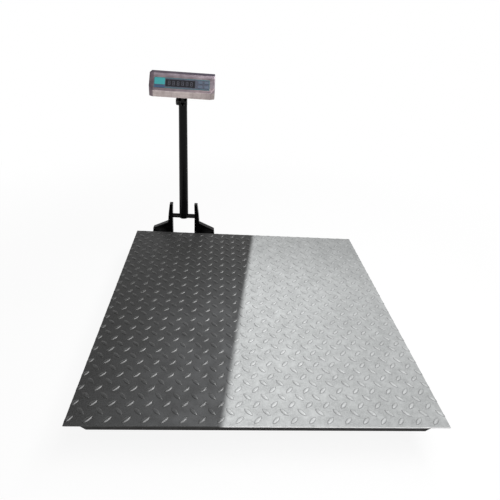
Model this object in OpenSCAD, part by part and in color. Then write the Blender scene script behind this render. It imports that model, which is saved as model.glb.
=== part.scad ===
// Electronic platform scale: a chequer-plate deck on four load cells, with a
// digital indicator on a pillar behind the deck's rear edge.
// Millimetres. X is right, Y is back, Z is up, and the floor is Z = 0.

/* [Deck] */
// Deck width, left to right
deck_w = 1000; // [960:10:1100]
// Deck depth, front to back
deck_d = 1000; // [960:10:1100]
// Thickness of the deck plate
plate_t = 5; // [4:0.5:8]
// Distance between like tread lugs
lug_pitch = 48; // [46:1:60]
// Length of a tread lug
lug_len = 30; // [24:1:32]
// Width of a tread lug
lug_wd = 12; // [8:0.5:13]
// Height of a tread lug
lug_h = 1.8; // [0.8:0.1:2]
// Distance from the plate's edge to the skirt
skirt_inset = 26; // [20:1:36]
// Height of the skirt below the plate
skirt_h = 50; // [44:1:52]
// Width of the skirt's top flange
skirt_flange = 30; // [24:1:34]
// Thickness of the skirt
skirt_t = 4; // [3:0.5:6]
// Bevel at the lower corners of the front and rear skirts
skirt_bevel = 16; // [4:1:30]
// Height of a deck rib
rib_h = 30; // [20:1:36]
// Width of a deck rib's top flange
rib_flange = 30; // [20:1:40]
// Thickness of a deck rib
rib_t = 4; // [3:0.5:6]
// Distance between deck ribs
rib_pitch = 200; // [190:5:220]

/* [Base] */
// Distance from the plate's edge to the base rails
rail_inset = 90; // [84:1:100]
// Side of the square base rail
rail = 40; // [38:1:46]
// Wall of the base rail
rail_wall = 3; // [2:0.5:4]
// Height of the base rails above the floor
ground_gap = 26; // [25:0.5:34]

/* [Load cells] */
// Length of a load cell
cell_len = 130; // [120:1:140]
// Width of a load cell
cell_wd = 32; // [28:1:36]
// Height of a load cell
cell_h = 32; // [28:1:38]
// Diameter of the hole at a load cell's free end
cell_hole_d = 13.2; // [12.4:0.1:16]
// Distance from a load cell's free end to that hole
cell_hole_in = 16; // [14:1:20]
// Thickness of the spacer under a load cell
spacer_t = 5; // [3:0.5:8]
// Length of the spacer under a load cell
spacer_len = 55; // [50:1:60]
// Diameter of a load-cell bolt
cell_bolt_d = 12; // [8:1:12]
// Diameter of a load button
button_d = 24; // [20:1:28]
// Height of a load button
button_h = 6; // [4:0.5:10]
// Diameter of the pin under a load button
button_pin_d = 12; // [8:0.5:12]
// Side of a load pad under the deck
pad_side = 56; // [40:1:58]
// Thickness of a load pad under the deck
pad_t = 6; // [4:0.5:10]
// Diameter of a load-cell lead
lead_d = 5; // [4:0.5:6]

/* [Feet] */
// Diameter of a foot's pad
foot_d = 60; // [40:1:76]
// Height of a foot's pad
foot_h = 10; // [8:0.5:11]
// Diameter of a foot's stud
stud_d = 16; // [12:1:18]
// Length of a foot's stud above its pad
stud_len = 45; // [42:0.5:46]
// Outside diameter of the threaded boss in the base
boss_d = 30; // [24:1:32]
// Height of the threaded boss
boss_h = 25; // [20:1:26]
// Thickness of a foot's lock nut
nut_h = 8; // [6:0.5:9]

/* [Junction box] */
// Length of the junction box
box_l = 120; // [110:1:130]
// Width of the junction box
box_w = 80; // [70:1:90]
// Height of the junction box without its lid
box_h = 36; // [32:1:38]
// Wall of the junction box
box_wall = 2.5; // [2:0.5:4]
// Thickness of the junction box lid
lid_t = 3; // [2:0.5:4]
// Distance of the junction box from the deck's centre line
box_x = 115; // [108:1:122]
// Diameter of a cable gland
gland_d = 14; // [12:1:16]
// Length of a cable gland
gland_l = 12; // [10:1:16]

/* [Pillar] */
// Distance from the deck's left edge to the pillar's middle
pillar_in = 210; // [200:1:300]
// Pillar axis behind the deck's rear edge
pillar_back = 45; // [36:1:70]
// Outside diameter at the pillar tube's foot
tube_d_foot = 41; // [38:0.5:48]
// Outside diameter at the pillar tube's top
tube_d_top = 34; // [33:0.5:37]
// Wall of the pillar tube
tube_wall = 2.5; // [2:0.25:4]
// Height of the pillar tube's foot above the deck
tube_foot = 58; // [56:1:63]
// Length of the pillar tube
tube_len = 497; // [400:1:700]
// Diameter of the crossbar
bar_d = 20; // [16:0.5:22]
// Height of the crossbar's axis above the deck
bar_up = 64; // [63:0.5:72]
// Width of a pillar arm
arm_w = 40; // [36:1:44]
// Height of a pillar arm
arm_h = 30; // [24:1:32]
// Depth of a pressed pillar leg
leg_depth = 24; // [22:1:30]
// Sheet of a pressed pillar leg
leg_t = 3; // [2:0.5:4]
// Distance from the pillar axis to a leg's inner edge
leg_in = 50; // [44:1:56]
// Width of a leg's foot
leg_foot_w = 45; // [42:1:60]
// Distance from the pillar axis to a wing's tip
wing_reach = 142; // [120:1:160]
// Height of a horn's top above the deck
horn_up = 126; // [110:1:150]
// Width of a horn's top
horn_top_w = 14; // [10:0.5:16]

/* [Indicator mount] */
// Diameter of the swivel spigot
spigot_d = 24; // [20:0.5:25]
// Length of the swivel spigot
spigot_len = 60; // [40:1:80]
// Thickness of the swivel head's flange
head_t = 5; // [4:0.5:8]
// Height of the tilt axis above the swivel head's flange
tilt_up = 12; // [11:0.5:14]
// Radius of the fork's ears
ear_r = 14; // [12:0.5:15]
// Gap between the fork's ears
fork_gap = 14; // [10:0.5:18]
// Diameter of the tilt bolt
tilt_bolt_d = 8; // [6:0.5:9]
// Diameter of the tilt knob
knob_d = 28; // [24:0.5:29]
// Thickness of the tilt knob
knob_t = 10; // [9:0.5:14]

/* [Indicator] */
// Width of the indicator housing
ind_w = 250; // [244:1:270]
// Height of the housing's floor above the tilt axis
ind_up = 25; // [24.5:0.5:32]
// Distance from the tilt axis forward to the lip
ind_front = 60; // [56:1:66]
// Distance from the tilt axis back to the rear cover
ind_back = 45; // [44:1:60]
// Height of the lip
lip_h = 23; // [18:1:32]
// Rise of the sloped front
slope_rise = 56; // [55:1:70]
// Run of the sloped front
slope_run = 55; // [48:1:58]
// Bevel at the front corners
corner_cut = 15; // [8:1:20]
// Thickness of the housing sheet
sheet = 1.5; // [1:0.25:2]
// Width of the front overlay
overlay_w = 212; // [206:1:216]
// Height of the front overlay
overlay_h = 45; // [42:1:52]
// Thickness of the front overlay
overlay_t = 0.8; // [0.5:0.1:1.2]
// Distance from the lip up to the front overlay
overlay_up = 12; // [6:0.5:16]
// Width of the display window
window_w = 112; // [96:1:114]
// Height of the display window
window_h = 30; // [26:1:34]
// Distance of the window's centre to the left of the pillar axis
window_left = 6; // [2:0.5:10]
// Width of a key
key_w = 16; // [12:0.5:17]
// Height of a key
key_h = 12; // [9:0.5:14]
// How far a key stands out of the overlay
key_out = 1.2; // [1:0.1:2]

/* [Clearances] */
// Gap beside a piece that slides or turns in an opening
slide_gap = 0.3; // [0.3:0.05:0.4]
// Radial clearance of a shaft in its bore
run_gap = 0.05; // [0.02:0.01:0.1]
// Gap of a piece laid in a fixed opening
lay_gap = 0.1; // [0.05:0.05:0.2]
// Radial clearance of a bolt in its hole
bolt_gap = 0.2; // [0.1:0.05:0.3]

/* [Hidden] */
$fn = 64;
// amount by which a cut runs past a face
cut = 1;

// levels of the stack, from the floor up
z_rail = ground_gap;
z_spacer = z_rail + rail;
z_cell = z_spacer + spacer_t;
z_button = z_cell + cell_h;
z_pad = z_button + button_h;
z_plate = z_pad + pad_t;
z_deck = z_plate + plate_t;

// pillar and indicator positions; the footprint's centre is the origin
housing_back = pillar_back + ind_back;
rear_reach = 14;
rear_overhang = housing_back + rear_reach;
deck_cy = -rear_overhang / 2;
pillar_x = pillar_in - deck_w / 2;
pillar_y = deck_cy + deck_d / 2 + pillar_back;
z_tube = z_deck + tube_foot;
z_tube_top = z_tube + tube_len;
z_bar = z_deck + bar_up;
z_tilt = z_tube_top + head_t + tilt_up;

// base and load-cell positions
rail_x = deck_w / 2 - rail_inset - rail / 2;
rail_y = deck_d / 2 - rail_inset - rail / 2;
cell_set_back = 5;
cell_tip = rail_y - cell_set_back;
load_y = cell_tip - cell_hole_in;
cell_root = cell_tip - cell_len;
bolt_pitch = 26;
bolt_in = 15;
bolt_first = cell_root + bolt_in;
corners = [for (sx = [-1, 1]) for (sy = [-1, 1]) [sx, sy]];

// lens outline of a tread lug from two arcs
lens_r = (lug_len * lug_len + lug_wd * lug_wd) / (4 * lug_wd);
lens_shift = lens_r - lug_wd / 2;
lug_edge_x = 7;
lug_edge_y = 18;

// skirt and rib spans
skirt_x = deck_w / 2 - skirt_inset;
skirt_y = deck_d / 2 - skirt_inset;
flange_in_y = skirt_y - skirt_flange;

// pillar arms and legs
z_arm = ground_gap;
z_leg = z_arm + arm_h;
arm_x = leg_in + leg_foot_w / 2;
leg_front = pillar_y - leg_depth / 2;
tube_bore_top = spigot_d + 2 * run_gap;
tube_bore_len = spigot_len + 2;

// fasteners
lid_screw_d = 4;
lid_screw_len = 8;
lid_post_d = 12;
lid_post_in = 8;
leg_bolt_d = 8;
leg_bolt_hex = 13;
leg_bolt_head = 5;
leg_nut_h = 6;
swivel_screw_d = 6;
swivel_screw_len = 8;
bracket_screw_d = 5;
bracket_screw_hex = 9;
bracket_screw_head = 3;
bracket_nut_h = 3.5;
bracket_screw_in = 7;
cover_screw_d = 3.5;
cover_screw_len = 8;
cover_screw_in = 9;
cover_screw_up = 10;
cover_block = [16, 10, 14];
pan_h = 2;
pan_head = 7;

// sloped front of the indicator
ind_h = lip_h + slope_rise;
slope_a = atan2(slope_rise, slope_run);
slope_len = sqrt(slope_rise * slope_rise + slope_run * slope_run);
board_back = 8;
board_t = 1.6;
window_v = overlay_up + overlay_h / 2;
key_pitch_x = 24;
key_pitch_v = 20;
key_margin = 4;
key_x = overlay_w / 2 - key_pitch_x - key_w / 2 - key_margin;
key_v = window_v - key_pitch_v / 2;
key_flange = 2;
key_flange_t = 1.2;
key_stem = 1;
key_corner = 2;
key_switch = [6, 6, 3];
digit_count = 6;
digit_w = 14;
digit_h = 20;
digit_pitch = 17;
digit_gap = 0.5;
window_corner = 2;
overlay_corner = 4;
stud_post_d = 4;
stud_side_in = 8;
board_rim = 4;
base_plate_t = 2;
bracket_t = 4;
bracket_side = 50;
rear_y = ind_back - sheet;
switch_x = 2;
fitting_x = 36;
fitting_rise = 54;
fitting_high = ind_up + fitting_rise;
fitting_drop = 32;
fitting_low = fitting_high - fitting_drop;
rocker_r = 9;
rocker_w = 12;
bezel_t = 2;
bezel_rim = 3.5;
frame_wall = 1.5;
frame_depth = 14;
pivot_d = 3;
rocker_tip = 5.5;
rocker_dip = 4;
collar_rim = 3;
fitting_nut_rim = 2.5;
fitting_nut_h = 4;
fitting_inside = 6;

// Shared shapes

// outline moved inwards by t; points run anticlockwise
function unit(v) = v / norm(v);
function left_of(v) = [-v.y, v.x];
function inset(p, t) = [
  for (i = [0:len(p) - 1])
    let (
      n = len(p),
      a = left_of(unit(p[i] - p[(i + n - 1) % n])),
      b = left_of(unit(p[(i + 1) % n] - p[i]))
    )
    p[i] + (a + b) * t / (1 + a * b)
];

module at_deck() translate([0, deck_cy, 0]) children();
module at_tilt() translate([pillar_x, pillar_y, z_tilt]) children();
module on_slope() at_tilt()
  translate([0, -ind_front, ind_up + lip_h]) rotate([slope_a, 0, 0]) children();
module along_x() rotate([0, 90, 0]) children();
module along_y() rotate([-90, 0, 0]) children();
module box_at(size, at) translate(at) cube(size);
module mid_box(size, at) translate(at - size / 2) cube(size);

// hollow rectangular tube along X, centred on the origin
module hollow_bar(length, depth, height, wall) difference() {
  mid_box([length, depth, height], [0, 0, 0]);
  mid_box([length + 2 * cut, depth - 2 * wall, height - 2 * wall], [0, 0, 0]);
}

module rounded(size, r) {
  square([size.x - 2 * r, size.y], center = true);
  square([size.x, size.y - 2 * r], center = true);
  for (sx = [-1, 1]) for (sy = [-1, 1])
    translate([sx * (size.x / 2 - r), sy * (size.y / 2 - r)]) circle(r = r);
}

// round lead through a list of points, a little thicker where it bends
lead_bend = 0.8;
module lead(points) {
  for (i = [0:len(points) - 2]) let (run = points[i + 1] - points[i])
    translate(points[i])
      rotate([0, acos(run.z / norm(run)), atan2(run.y, run.x)]) cylinder(d = lead_d, h = norm(run));
  for (i = [1:len(points) - 2]) translate(points[i]) sphere(d = lead_d + lead_bend);
}

// Deck

module lug(x, y, turn) translate([x, y, z_deck - plate_t / 2]) rotate(turn)
  linear_extrude(plate_t / 2 + lug_h) intersection() {
    translate([0, lens_shift]) circle(r = lens_r);
    translate([0, -lens_shift]) circle(r = lens_r);
  }

module deck_plate() color("Silver") at_deck() intersection() {
  union() {
    box_at([deck_w, deck_d, plate_t], [-deck_w / 2, -deck_d / 2, z_plate]);
    for (x = [lug_edge_x - deck_w / 2:lug_pitch:deck_w / 2])
      for (y = [lug_edge_y - deck_d / 2:lug_pitch:deck_d / 2]) {
        lug(x, y, 45);
        lug(x + lug_pitch / 2, y + lug_pitch / 2, -45);
      }
  }
  box_at([deck_w, deck_d, 2 * plate_t + lug_h], [-deck_w / 2, -deck_d / 2, z_plate]);
}

// angle section with its upright at the outside, for a run along X that faces -Y;
// the upright's lower corners are cut off by the bevel
module skirt(length, bevel) {
  half = length / 2;
  translate([0, skirt_t, 0]) rotate([90, 0, 0]) linear_extrude(skirt_t) polygon([
    [-half, 0],
    [-half, bevel - skirt_h],
    [bevel - half, -skirt_h],
    [half - bevel, -skirt_h],
    [half, bevel - skirt_h],
    [half, 0]
  ]);
  box_at([length, skirt_flange, skirt_t], [-half, 0, -skirt_t]);
}
module skirt_ends(sy) color("DimGray") at_deck()
  translate([0, sy * skirt_y, z_plate]) rotate(sy > 0 ? 180 : 0) skirt(2 * skirt_x, skirt_bevel);
module skirt_sides(sx) color("DimGray") at_deck()
  translate([sx * skirt_x, 0, z_plate]) rotate(sx * 90) skirt(2 * flange_in_y, skirt_t);
module deck_skirt_front() skirt_ends(-1);
module deck_skirt_rear() skirt_ends(1);
module deck_skirt_left() skirt_sides(-1);
module deck_skirt_right() skirt_sides(1);

module deck_ribs() color("DimGray") at_deck()
  for (i = [-1:1]) translate([i * rib_pitch, -flange_in_y, z_plate]) {
    box_at([rib_t, 2 * flange_in_y, rib_h], [0, 0, -rib_h]);
    box_at([rib_flange, 2 * flange_in_y, rib_t], [0, 0, -rib_t]);
  }

module load_pads() color("DimGray") at_deck()
  for (c = corners) mid_box([pad_side, pad_side, pad_t], [c.x * rail_x, c.y * load_y, z_pad + pad_t / 2]);

module load_buttons() color("LightGray") at_deck()
  for (c = corners) translate([c.x * rail_x, c.y * load_y, z_button]) {
    cylinder(d = button_d, h = button_h);
    translate([0, 0, -cell_h / 2]) cylinder(d = button_pin_d, h = cell_h / 2 + button_h / 2);
  }

// Base

module foot_hole(sx, sy) translate([sx * rail_x, sy * rail_y, z_rail - cut])
  cylinder(d = stud_d + 4 * slide_gap, h = rail_wall + 2 * cut);

module end_rail(sy) color("SlateGray") at_deck() difference() {
  translate([0, sy * rail_y, z_rail + rail / 2]) hollow_bar(2 * rail_x + rail, rail, rail, rail_wall);
  foot_hole(-1, sy);
  foot_hole(1, sy);
}
module bolt_holes(sx) for (sy = [-1, 1]) for (i = [0:1])
  translate([sx * rail_x, sy * (bolt_first + i * bolt_pitch), z_spacer - rail_wall - cut])
    cylinder(d = cell_bolt_d + 2 * bolt_gap, h = rail_wall + 2 * cut);
module side_rail(sx) color("SlateGray") at_deck() difference() {
  translate([sx * rail_x, 0, z_rail + rail / 2])
    rotate(90) hollow_bar(2 * rail_y - rail, rail, rail, rail_wall);
  bolt_holes(sx);
}
module base_rail_front() end_rail(-1);
module base_rail_rear() end_rail(1);
module base_rail_left() side_rail(-1);
module base_rail_right() side_rail(1);
module base_cross_rail() color("SlateGray") at_deck()
  translate([0, 0, z_rail + rail / 2]) hollow_bar(2 * rail_x - rail, rail, rail, rail_wall);

module each_cell_bolt() for (c = corners) for (i = [0:1])
  translate([c.x * rail_x, c.y * (bolt_first + i * bolt_pitch), 0]) children();

module load_cell_spacers() color("LightGray") at_deck() difference() {
  for (c = corners) mid_box(
    [cell_wd, spacer_len, spacer_t],
    [c.x * rail_x, c.y * (cell_root + spacer_len / 2), z_spacer + spacer_t / 2]
  );
  each_cell_bolt() translate([0, 0, z_spacer - cut])
    cylinder(d = cell_bolt_d + 2 * bolt_gap, h = spacer_t + 2 * cut);
}

module load_cells() color("Gainsboro") at_deck() difference() {
  for (c = corners) mid_box(
    [cell_wd, cell_len, cell_h],
    [c.x * rail_x, c.y * (cell_root + cell_len / 2), z_cell + cell_h / 2]
  );
  each_cell_bolt() translate([0, 0, z_cell - cut])
    cylinder(d = cell_bolt_d + 2 * bolt_gap, h = cell_h + 2 * cut);
  for (c = corners) translate([c.x * rail_x, c.y * load_y, z_cell - cut])
    cylinder(d = cell_hole_d, h = cell_h + 2 * cut);
  // strain-gauge pockets in both sides
  for (c = corners) for (side = [-1, 1])
    translate([c.x * rail_x + side * cell_wd / 2, c.y * (cell_root + cell_len * 0.6), z_cell + cell_h / 2])
      along_x() cylinder(d = cell_h / 2, h = cell_wd / 2, center = true);
}

module load_cell_bolts() color("Gray") at_deck() each_cell_bolt() {
  bolt_top = 0.6 * cell_bolt_d;
  translate([0, 0, z_cell + cell_h]) cylinder(d = 1.5 * cell_bolt_d, h = bolt_top, $fn = 6);
  translate([0, 0, z_spacer - rail_wall - cut])
    cylinder(d = cell_bolt_d, h = rail_wall + cut + spacer_t + cell_h + cut);
  translate([0, 0, z_spacer - rail_wall - bolt_top]) cylinder(d = 1.5 * cell_bolt_d, h = bolt_top, $fn = 6);
}

module foot_bosses() color("DimGray") at_deck() for (c = corners)
  translate([c.x * rail_x, c.y * rail_y, z_rail + rail_wall]) difference() {
    cylinder(d = boss_d, h = boss_h);
    translate([0, 0, -cut]) cylinder(d = stud_d + 2 * run_gap, h = boss_h + 2 * cut);
  }

module lock_nuts() color("Gray") at_deck() for (c = corners)
  translate([c.x * rail_x, c.y * rail_y, z_rail - nut_h]) difference() {
    cylinder(d = 1.75 * stud_d, h = nut_h, $fn = 6);
    translate([0, 0, -cut]) cylinder(d = stud_d + 2 * run_gap, h = nut_h + 2 * cut);
  }

module foot(sx, sy) color("Gray") at_deck() translate([sx * rail_x, sy * rail_y, 0]) {
  rim = 0.6 * foot_h;
  cylinder(d = foot_d, h = rim);
  translate([0, 0, rim]) cylinder(d1 = foot_d, d2 = 1.6 * stud_d, h = foot_h - rim);
  cylinder(d = stud_d, h = foot_h + stud_len);
}
module foot_front_left() foot(-1, -1);
module foot_front_right() foot(1, -1);
module foot_rear_left() foot(-1, 1);
module foot_rear_right() foot(1, 1);

// Junction box and leads

lead_y = rail * 0.3;
lead_out = 15;
lead_fall = 20;
lead_straight = 6;
lead_rise = 19;
gland_z = z_spacer + box_h / 2;
gland_neck_d = gland_d - 4;
lead_z = z_spacer + (lead_d + lead_bend) / 2 + lay_gap;

module each_gland() {
  for (sx = [-1, 1]) for (sy = [-1, 1])
    translate([box_x + sx * box_l / 2, sy * lead_y, gland_z]) rotate([0, sx * 90, 0]) children();
  translate([box_x, box_w / 2, gland_z]) along_y() children();
}
module each_lid_corner() for (c = corners)
  translate([box_x + c.x * (box_l / 2 - lid_post_in), c.y * (box_w / 2 - lid_post_in), 0]) children();
module lid_screw_hole(z, h) each_lid_corner() translate([0, 0, z])
  cylinder(d = lid_screw_d + 2 * bolt_gap, h = h);

module junction_box() color("LightSlateGray") at_deck() {
  difference() {
    mid_box([box_l, box_w, box_h], [box_x, 0, z_spacer + box_h / 2]);
    mid_box([box_l - 2 * box_wall, box_w - 2 * box_wall, box_h], [box_x, 0, z_spacer + box_wall + box_h / 2]);
    each_gland() translate([0, 0, -2 * box_wall]) cylinder(d = gland_neck_d + 2 * lay_gap, h = 4 * box_wall);
  }
  difference() {
    each_lid_corner() translate([0, 0, z_spacer]) cylinder(d = lid_post_d, h = box_h);
    lid_screw_hole(z_spacer + box_h / 2, box_h);
  }
}
module junction_lid() color("LightSlateGray") at_deck() difference() {
  mid_box([box_l, box_w, lid_t], [box_x, 0, z_spacer + box_h + lid_t / 2]);
  lid_screw_hole(z_spacer + box_h - cut, lid_t + 2 * cut);
}
module junction_board() color("DarkGreen") at_deck()
  mid_box([box_l * 0.65, box_w * 0.7, board_t], [box_x, 0, z_spacer + box_wall + board_t / 2]);
module junction_glands() color("DimGray") at_deck() each_gland() difference() {
  union() {
    cylinder(d = gland_d, h = gland_l);
    translate([0, 0, -2 * box_wall]) cylinder(d = gland_neck_d, h = 2 * box_wall + cut);
  }
  translate([0, 0, -3 * box_wall]) cylinder(d = lead_d + 2 * lay_gap, h = gland_l + 4 * box_wall);
}
module junction_screws() color("Gray") at_deck() each_lid_corner() {
  translate([0, 0, z_spacer + box_h + lid_t]) cylinder(d = pan_head, h = pan_h);
  translate([0, 0, z_spacer + box_h - lid_screw_len])
    cylinder(d = lid_screw_d, h = lid_screw_len + lid_t + cut);
}
module load_cell_leads() color("Black") at_deck() for (c = corners)
  let (
    x = c.x * rail_x,
    y = c.y * lead_y,
    gland_x = box_x + c.x * box_l / 2
  )
  lead([
    [x, c.y * cell_root, z_cell + cell_h / 2],
    [x, c.y * (cell_root - lead_out), z_cell + cell_h / 2],
    [x, c.y * (cell_root - lead_out - lead_fall), lead_z],
    [x, y, lead_z],
    [gland_x + c.x * (gland_l + lead_straight + lead_rise), y, lead_z],
    [gland_x + c.x * (gland_l + lead_straight), y, gland_z],
    [gland_x - c.x * 2 * box_wall, y, gland_z]
  ]);

// Pillar

arm_start = deck_d / 2 - rail_inset;
arm_run = deck_d / 2 + pillar_back + leg_depth / 2 - arm_start;
module each_leg_bolt(s) for (i = [-1, 1])
  translate([pillar_x + s * (arm_x + i * arm_w / 4), pillar_y, 0]) children();

module pillar_arm(s) color("Black") difference() {
  translate([pillar_x + s * arm_x, deck_cy + arm_start + arm_run / 2, z_arm + arm_h / 2])
    rotate(90) hollow_bar(arm_run, arm_w, arm_h, rail_wall);
  each_leg_bolt(s) translate([0, 0, z_leg - rail_wall - cut])
    cylinder(d = leg_bolt_d + 2 * bolt_gap, h = rail_wall + 2 * cut);
}
module pillar_arm_left() pillar_arm(-1);
module pillar_arm_right() pillar_arm(1);

// outline of a leg, from the pillar axis outwards and from the deck's top up
waist_up = bar_up + 12;
waist_w = 19;
shoulder_up = 33;
shoulder_w = 22.5;
wing_drop = 32;
wing_slant = 3;
horn_lean = 1.5;
leg_outline = [
  [leg_in, z_leg - z_deck],
  [leg_in + leg_foot_w, z_leg - z_deck],
  [wing_reach + wing_slant, -wing_drop],
  [wing_reach, 0],
  [leg_in + shoulder_w, shoulder_up],
  [leg_in + waist_w, waist_up],
  [leg_in - horn_lean + horn_top_w, horn_up],
  [leg_in - horn_lean, horn_up],
  [leg_in, waist_up]
];
// pressed tray with its rim turned forwards
module pillar_leg(s) color("Black") difference() {
  translate([pillar_x, leg_front + leg_depth, z_deck]) mirror([s < 0 ? 1 : 0, 0, 0]) rotate([90, 0, 0])
    difference() {
      linear_extrude(leg_depth) polygon(leg_outline);
      translate([0, 0, leg_t]) linear_extrude(leg_depth) polygon(inset(leg_outline, leg_t));
    }
  each_leg_bolt(s) translate([0, 0, z_leg - cut])
    cylinder(d = leg_bolt_d + 2 * bolt_gap, h = leg_t + 2 * cut);
}
module pillar_leg_left() pillar_leg(-1);
module pillar_leg_right() pillar_leg(1);

module leg_bolts() color("Gray") for (s = [-1, 1]) each_leg_bolt(s) {
  translate([0, 0, z_leg + leg_t]) cylinder(d = leg_bolt_hex, h = leg_bolt_head, $fn = 6);
  translate([0, 0, z_leg - rail_wall - cut]) cylinder(d = leg_bolt_d, h = rail_wall + leg_t + 2 * cut);
  translate([0, 0, z_leg - rail_wall - leg_nut_h]) cylinder(d = leg_bolt_hex, h = leg_nut_h, $fn = 6);
}

module pillar_crossbar() color("Black")
  translate([pillar_x - leg_in, pillar_y, z_bar]) along_x() cylinder(d = bar_d, h = 2 * leg_in);

tube_r_low = tube_d_foot / 2;
tube_r_top = tube_d_top / 2;
module pillar_tube() color("Black") translate([pillar_x, pillar_y, z_tube]) difference() {
  rotate_extrude() polygon([
    [tube_r_low - tube_wall, 0],
    [tube_r_low, 0],
    [tube_r_top, tube_len],
    [tube_bore_top / 2, tube_len],
    [tube_bore_top / 2, tube_len - tube_bore_len]
  ]);
  translate([0, 0, bar_up - tube_foot]) along_x() cylinder(d = bar_d, h = 2 * tube_d_foot, center = true);
  translate([0, 0, tube_len - spigot_len / 2]) along_y() cylinder(d = swivel_screw_d, h = tube_d_foot);
}
module swivel_screw() color("Gray") translate([pillar_x, pillar_y, z_tube_top - spigot_len / 2])
  along_y() translate([0, 0, spigot_d / 2 + slide_gap]) cylinder(d = swivel_screw_d, h = swivel_screw_len);

// Swivel head and tilt

head_bore = 12;
tilt_head_d = 13;
tilt_head_h = 4;
tilt_pocket = 14;
knob_bevel = 3;
grip_count = 8;
grip_d = 7;
grip_out = 2;
eye_r = ear_r - 3;

module swivel_head() color("Black") difference() {
  union() {
    translate([pillar_x, pillar_y, z_tube_top - spigot_len])
      cylinder(d = spigot_d, h = spigot_len + head_t / 2);
    translate([pillar_x, pillar_y, z_tube_top]) cylinder(d = tube_d_top, h = head_t);
    at_tilt() along_x() cylinder(r = ear_r, h = tube_d_top, center = true);
    at_tilt() mid_box([tube_d_top, 2 * ear_r, tilt_up], [0, 0, -tilt_up / 2]);
  }
  at_tilt() mid_box([fork_gap, 3 * ear_r, 2 * ear_r], [0, 0, ear_r - tilt_up]);
  at_tilt() along_x() cylinder(d = tilt_bolt_d + 2 * run_gap, h = 2 * tube_d_top, center = true);
  at_tilt() translate([tube_d_top / 2 - tilt_head_h, 0, 0]) along_x()
    cylinder(d = tilt_pocket, h = tilt_head_h + cut);
  translate([pillar_x, pillar_y, z_tube_top - spigot_len - cut])
    cylinder(d = head_bore, h = spigot_len + 2 * head_t);
}
module tilt_bolt() color("Gray") at_tilt() {
  bolt_end = tube_d_top / 2 + knob_t - knob_bevel;
  translate([tube_d_top / 2 - tilt_head_h, 0, 0]) along_x() cylinder(d = tilt_head_d, h = tilt_head_h);
  translate([-bolt_end, 0, 0]) along_x()
    cylinder(d = tilt_bolt_d, h = bolt_end + tube_d_top / 2 - tilt_head_h / 2);
}
module tilt_knob() color("Black") at_tilt() translate([-tube_d_top / 2 - slide_gap, 0, 0]) rotate([0, -90, 0])
  difference() {
    union() {
      cylinder(d = knob_d, h = knob_t - knob_bevel);
      translate([0, 0, knob_t - knob_bevel])
        cylinder(d1 = knob_d, d2 = knob_d - 2 * knob_bevel, h = knob_bevel);
    }
    translate([0, 0, -cut]) cylinder(d = tilt_bolt_d + 2 * run_gap, h = knob_t - 2 + cut);
    for (i = [0:grip_count - 1]) rotate(i * 360 / grip_count)
      translate([knob_d / 2 + grip_out, 0, -cut]) cylinder(d = grip_d, h = knob_t + 2 * cut);
  }

screw_off = bracket_side / 2 - bracket_screw_in;
module each_bracket_screw() for (c = corners)
  translate([c.x * screw_off, c.y * screw_off, ind_up]) children();
module tilt_bracket() color("Gray") at_tilt() {
  ear_w = fork_gap - 2 * slide_gap;
  difference() {
    union() {
      along_x() cylinder(r = eye_r, h = ear_w, center = true);
      mid_box([ear_w, 2 * eye_r, ind_up - bracket_t], [0, 0, (ind_up - bracket_t) / 2]);
      mid_box([bracket_side, bracket_side, bracket_t], [0, 0, ind_up - bracket_t / 2]);
    }
    along_x() cylinder(d = tilt_bolt_d + 2 * run_gap, h = 2 * fork_gap, center = true);
    each_bracket_screw() translate([0, 0, -bracket_t - cut])
      cylinder(d = bracket_screw_d + 2 * bolt_gap, h = bracket_t + 2 * cut);
  }
}
module bracket_screws() color("Gray") at_tilt() each_bracket_screw() {
  translate([0, 0, -bracket_t - bracket_screw_head]) cylinder(d = bracket_screw_hex, h = bracket_screw_head);
  translate([0, 0, -bracket_t - cut])
    cylinder(d = bracket_screw_d, h = bracket_t + base_plate_t + bracket_nut_h + 2 * cut);
  translate([0, 0, base_plate_t]) cylinder(d = bracket_screw_hex, h = bracket_nut_h, $fn = 6);
}

// Indicator housing

open_reach = 10;
// side outline of the housing as [y, z]; back and floor are pushed out by the given reach
function side_outline(reach) = [
  [-ind_front, ind_up - reach],
  [ind_back + reach, ind_up - reach],
  [ind_back + reach, ind_up + ind_h],
  [slope_run - ind_front, ind_up + ind_h],
  [-ind_front, ind_up + lip_h]
];
// plan outline of the housing as [x, y]
function plan_outline(reach) = [
  [-ind_w / 2, ind_back + reach],
  [-ind_w / 2, corner_cut - ind_front],
  [corner_cut - ind_w / 2, -ind_front],
  [ind_w / 2 - corner_cut, -ind_front],
  [ind_w / 2, corner_cut - ind_front],
  [ind_w / 2, ind_back + reach]
];
module housing_form(reach, t) intersection() {
  rotate([90, 0, 90]) linear_extrude(2 * ind_w, center = true) polygon(inset(side_outline(reach), t));
  translate([0, 0, ind_up - 2 * open_reach])
    linear_extrude(ind_h + 4 * open_reach) polygon(inset(plan_outline(reach), t));
}
module each_cover_screw() for (sx = [-1, 1]) for (up = [cover_screw_up, ind_h - cover_screw_up])
  translate([sx * (ind_w / 2 - cover_screw_in), rear_y, ind_up + up]) children();
module slope_opening(size, x, v, gap) on_slope() translate([x, v, -3 * sheet])
  linear_extrude(6 * sheet) rounded([size.x + 2 * gap, size.y + 2 * gap], window_corner);
module each_key_opening() for (i = [0:1]) for (j = [0:1])
  slope_opening([key_w, key_h], key_x + i * key_pitch_x, key_v + j * key_pitch_v, slide_gap);

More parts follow.
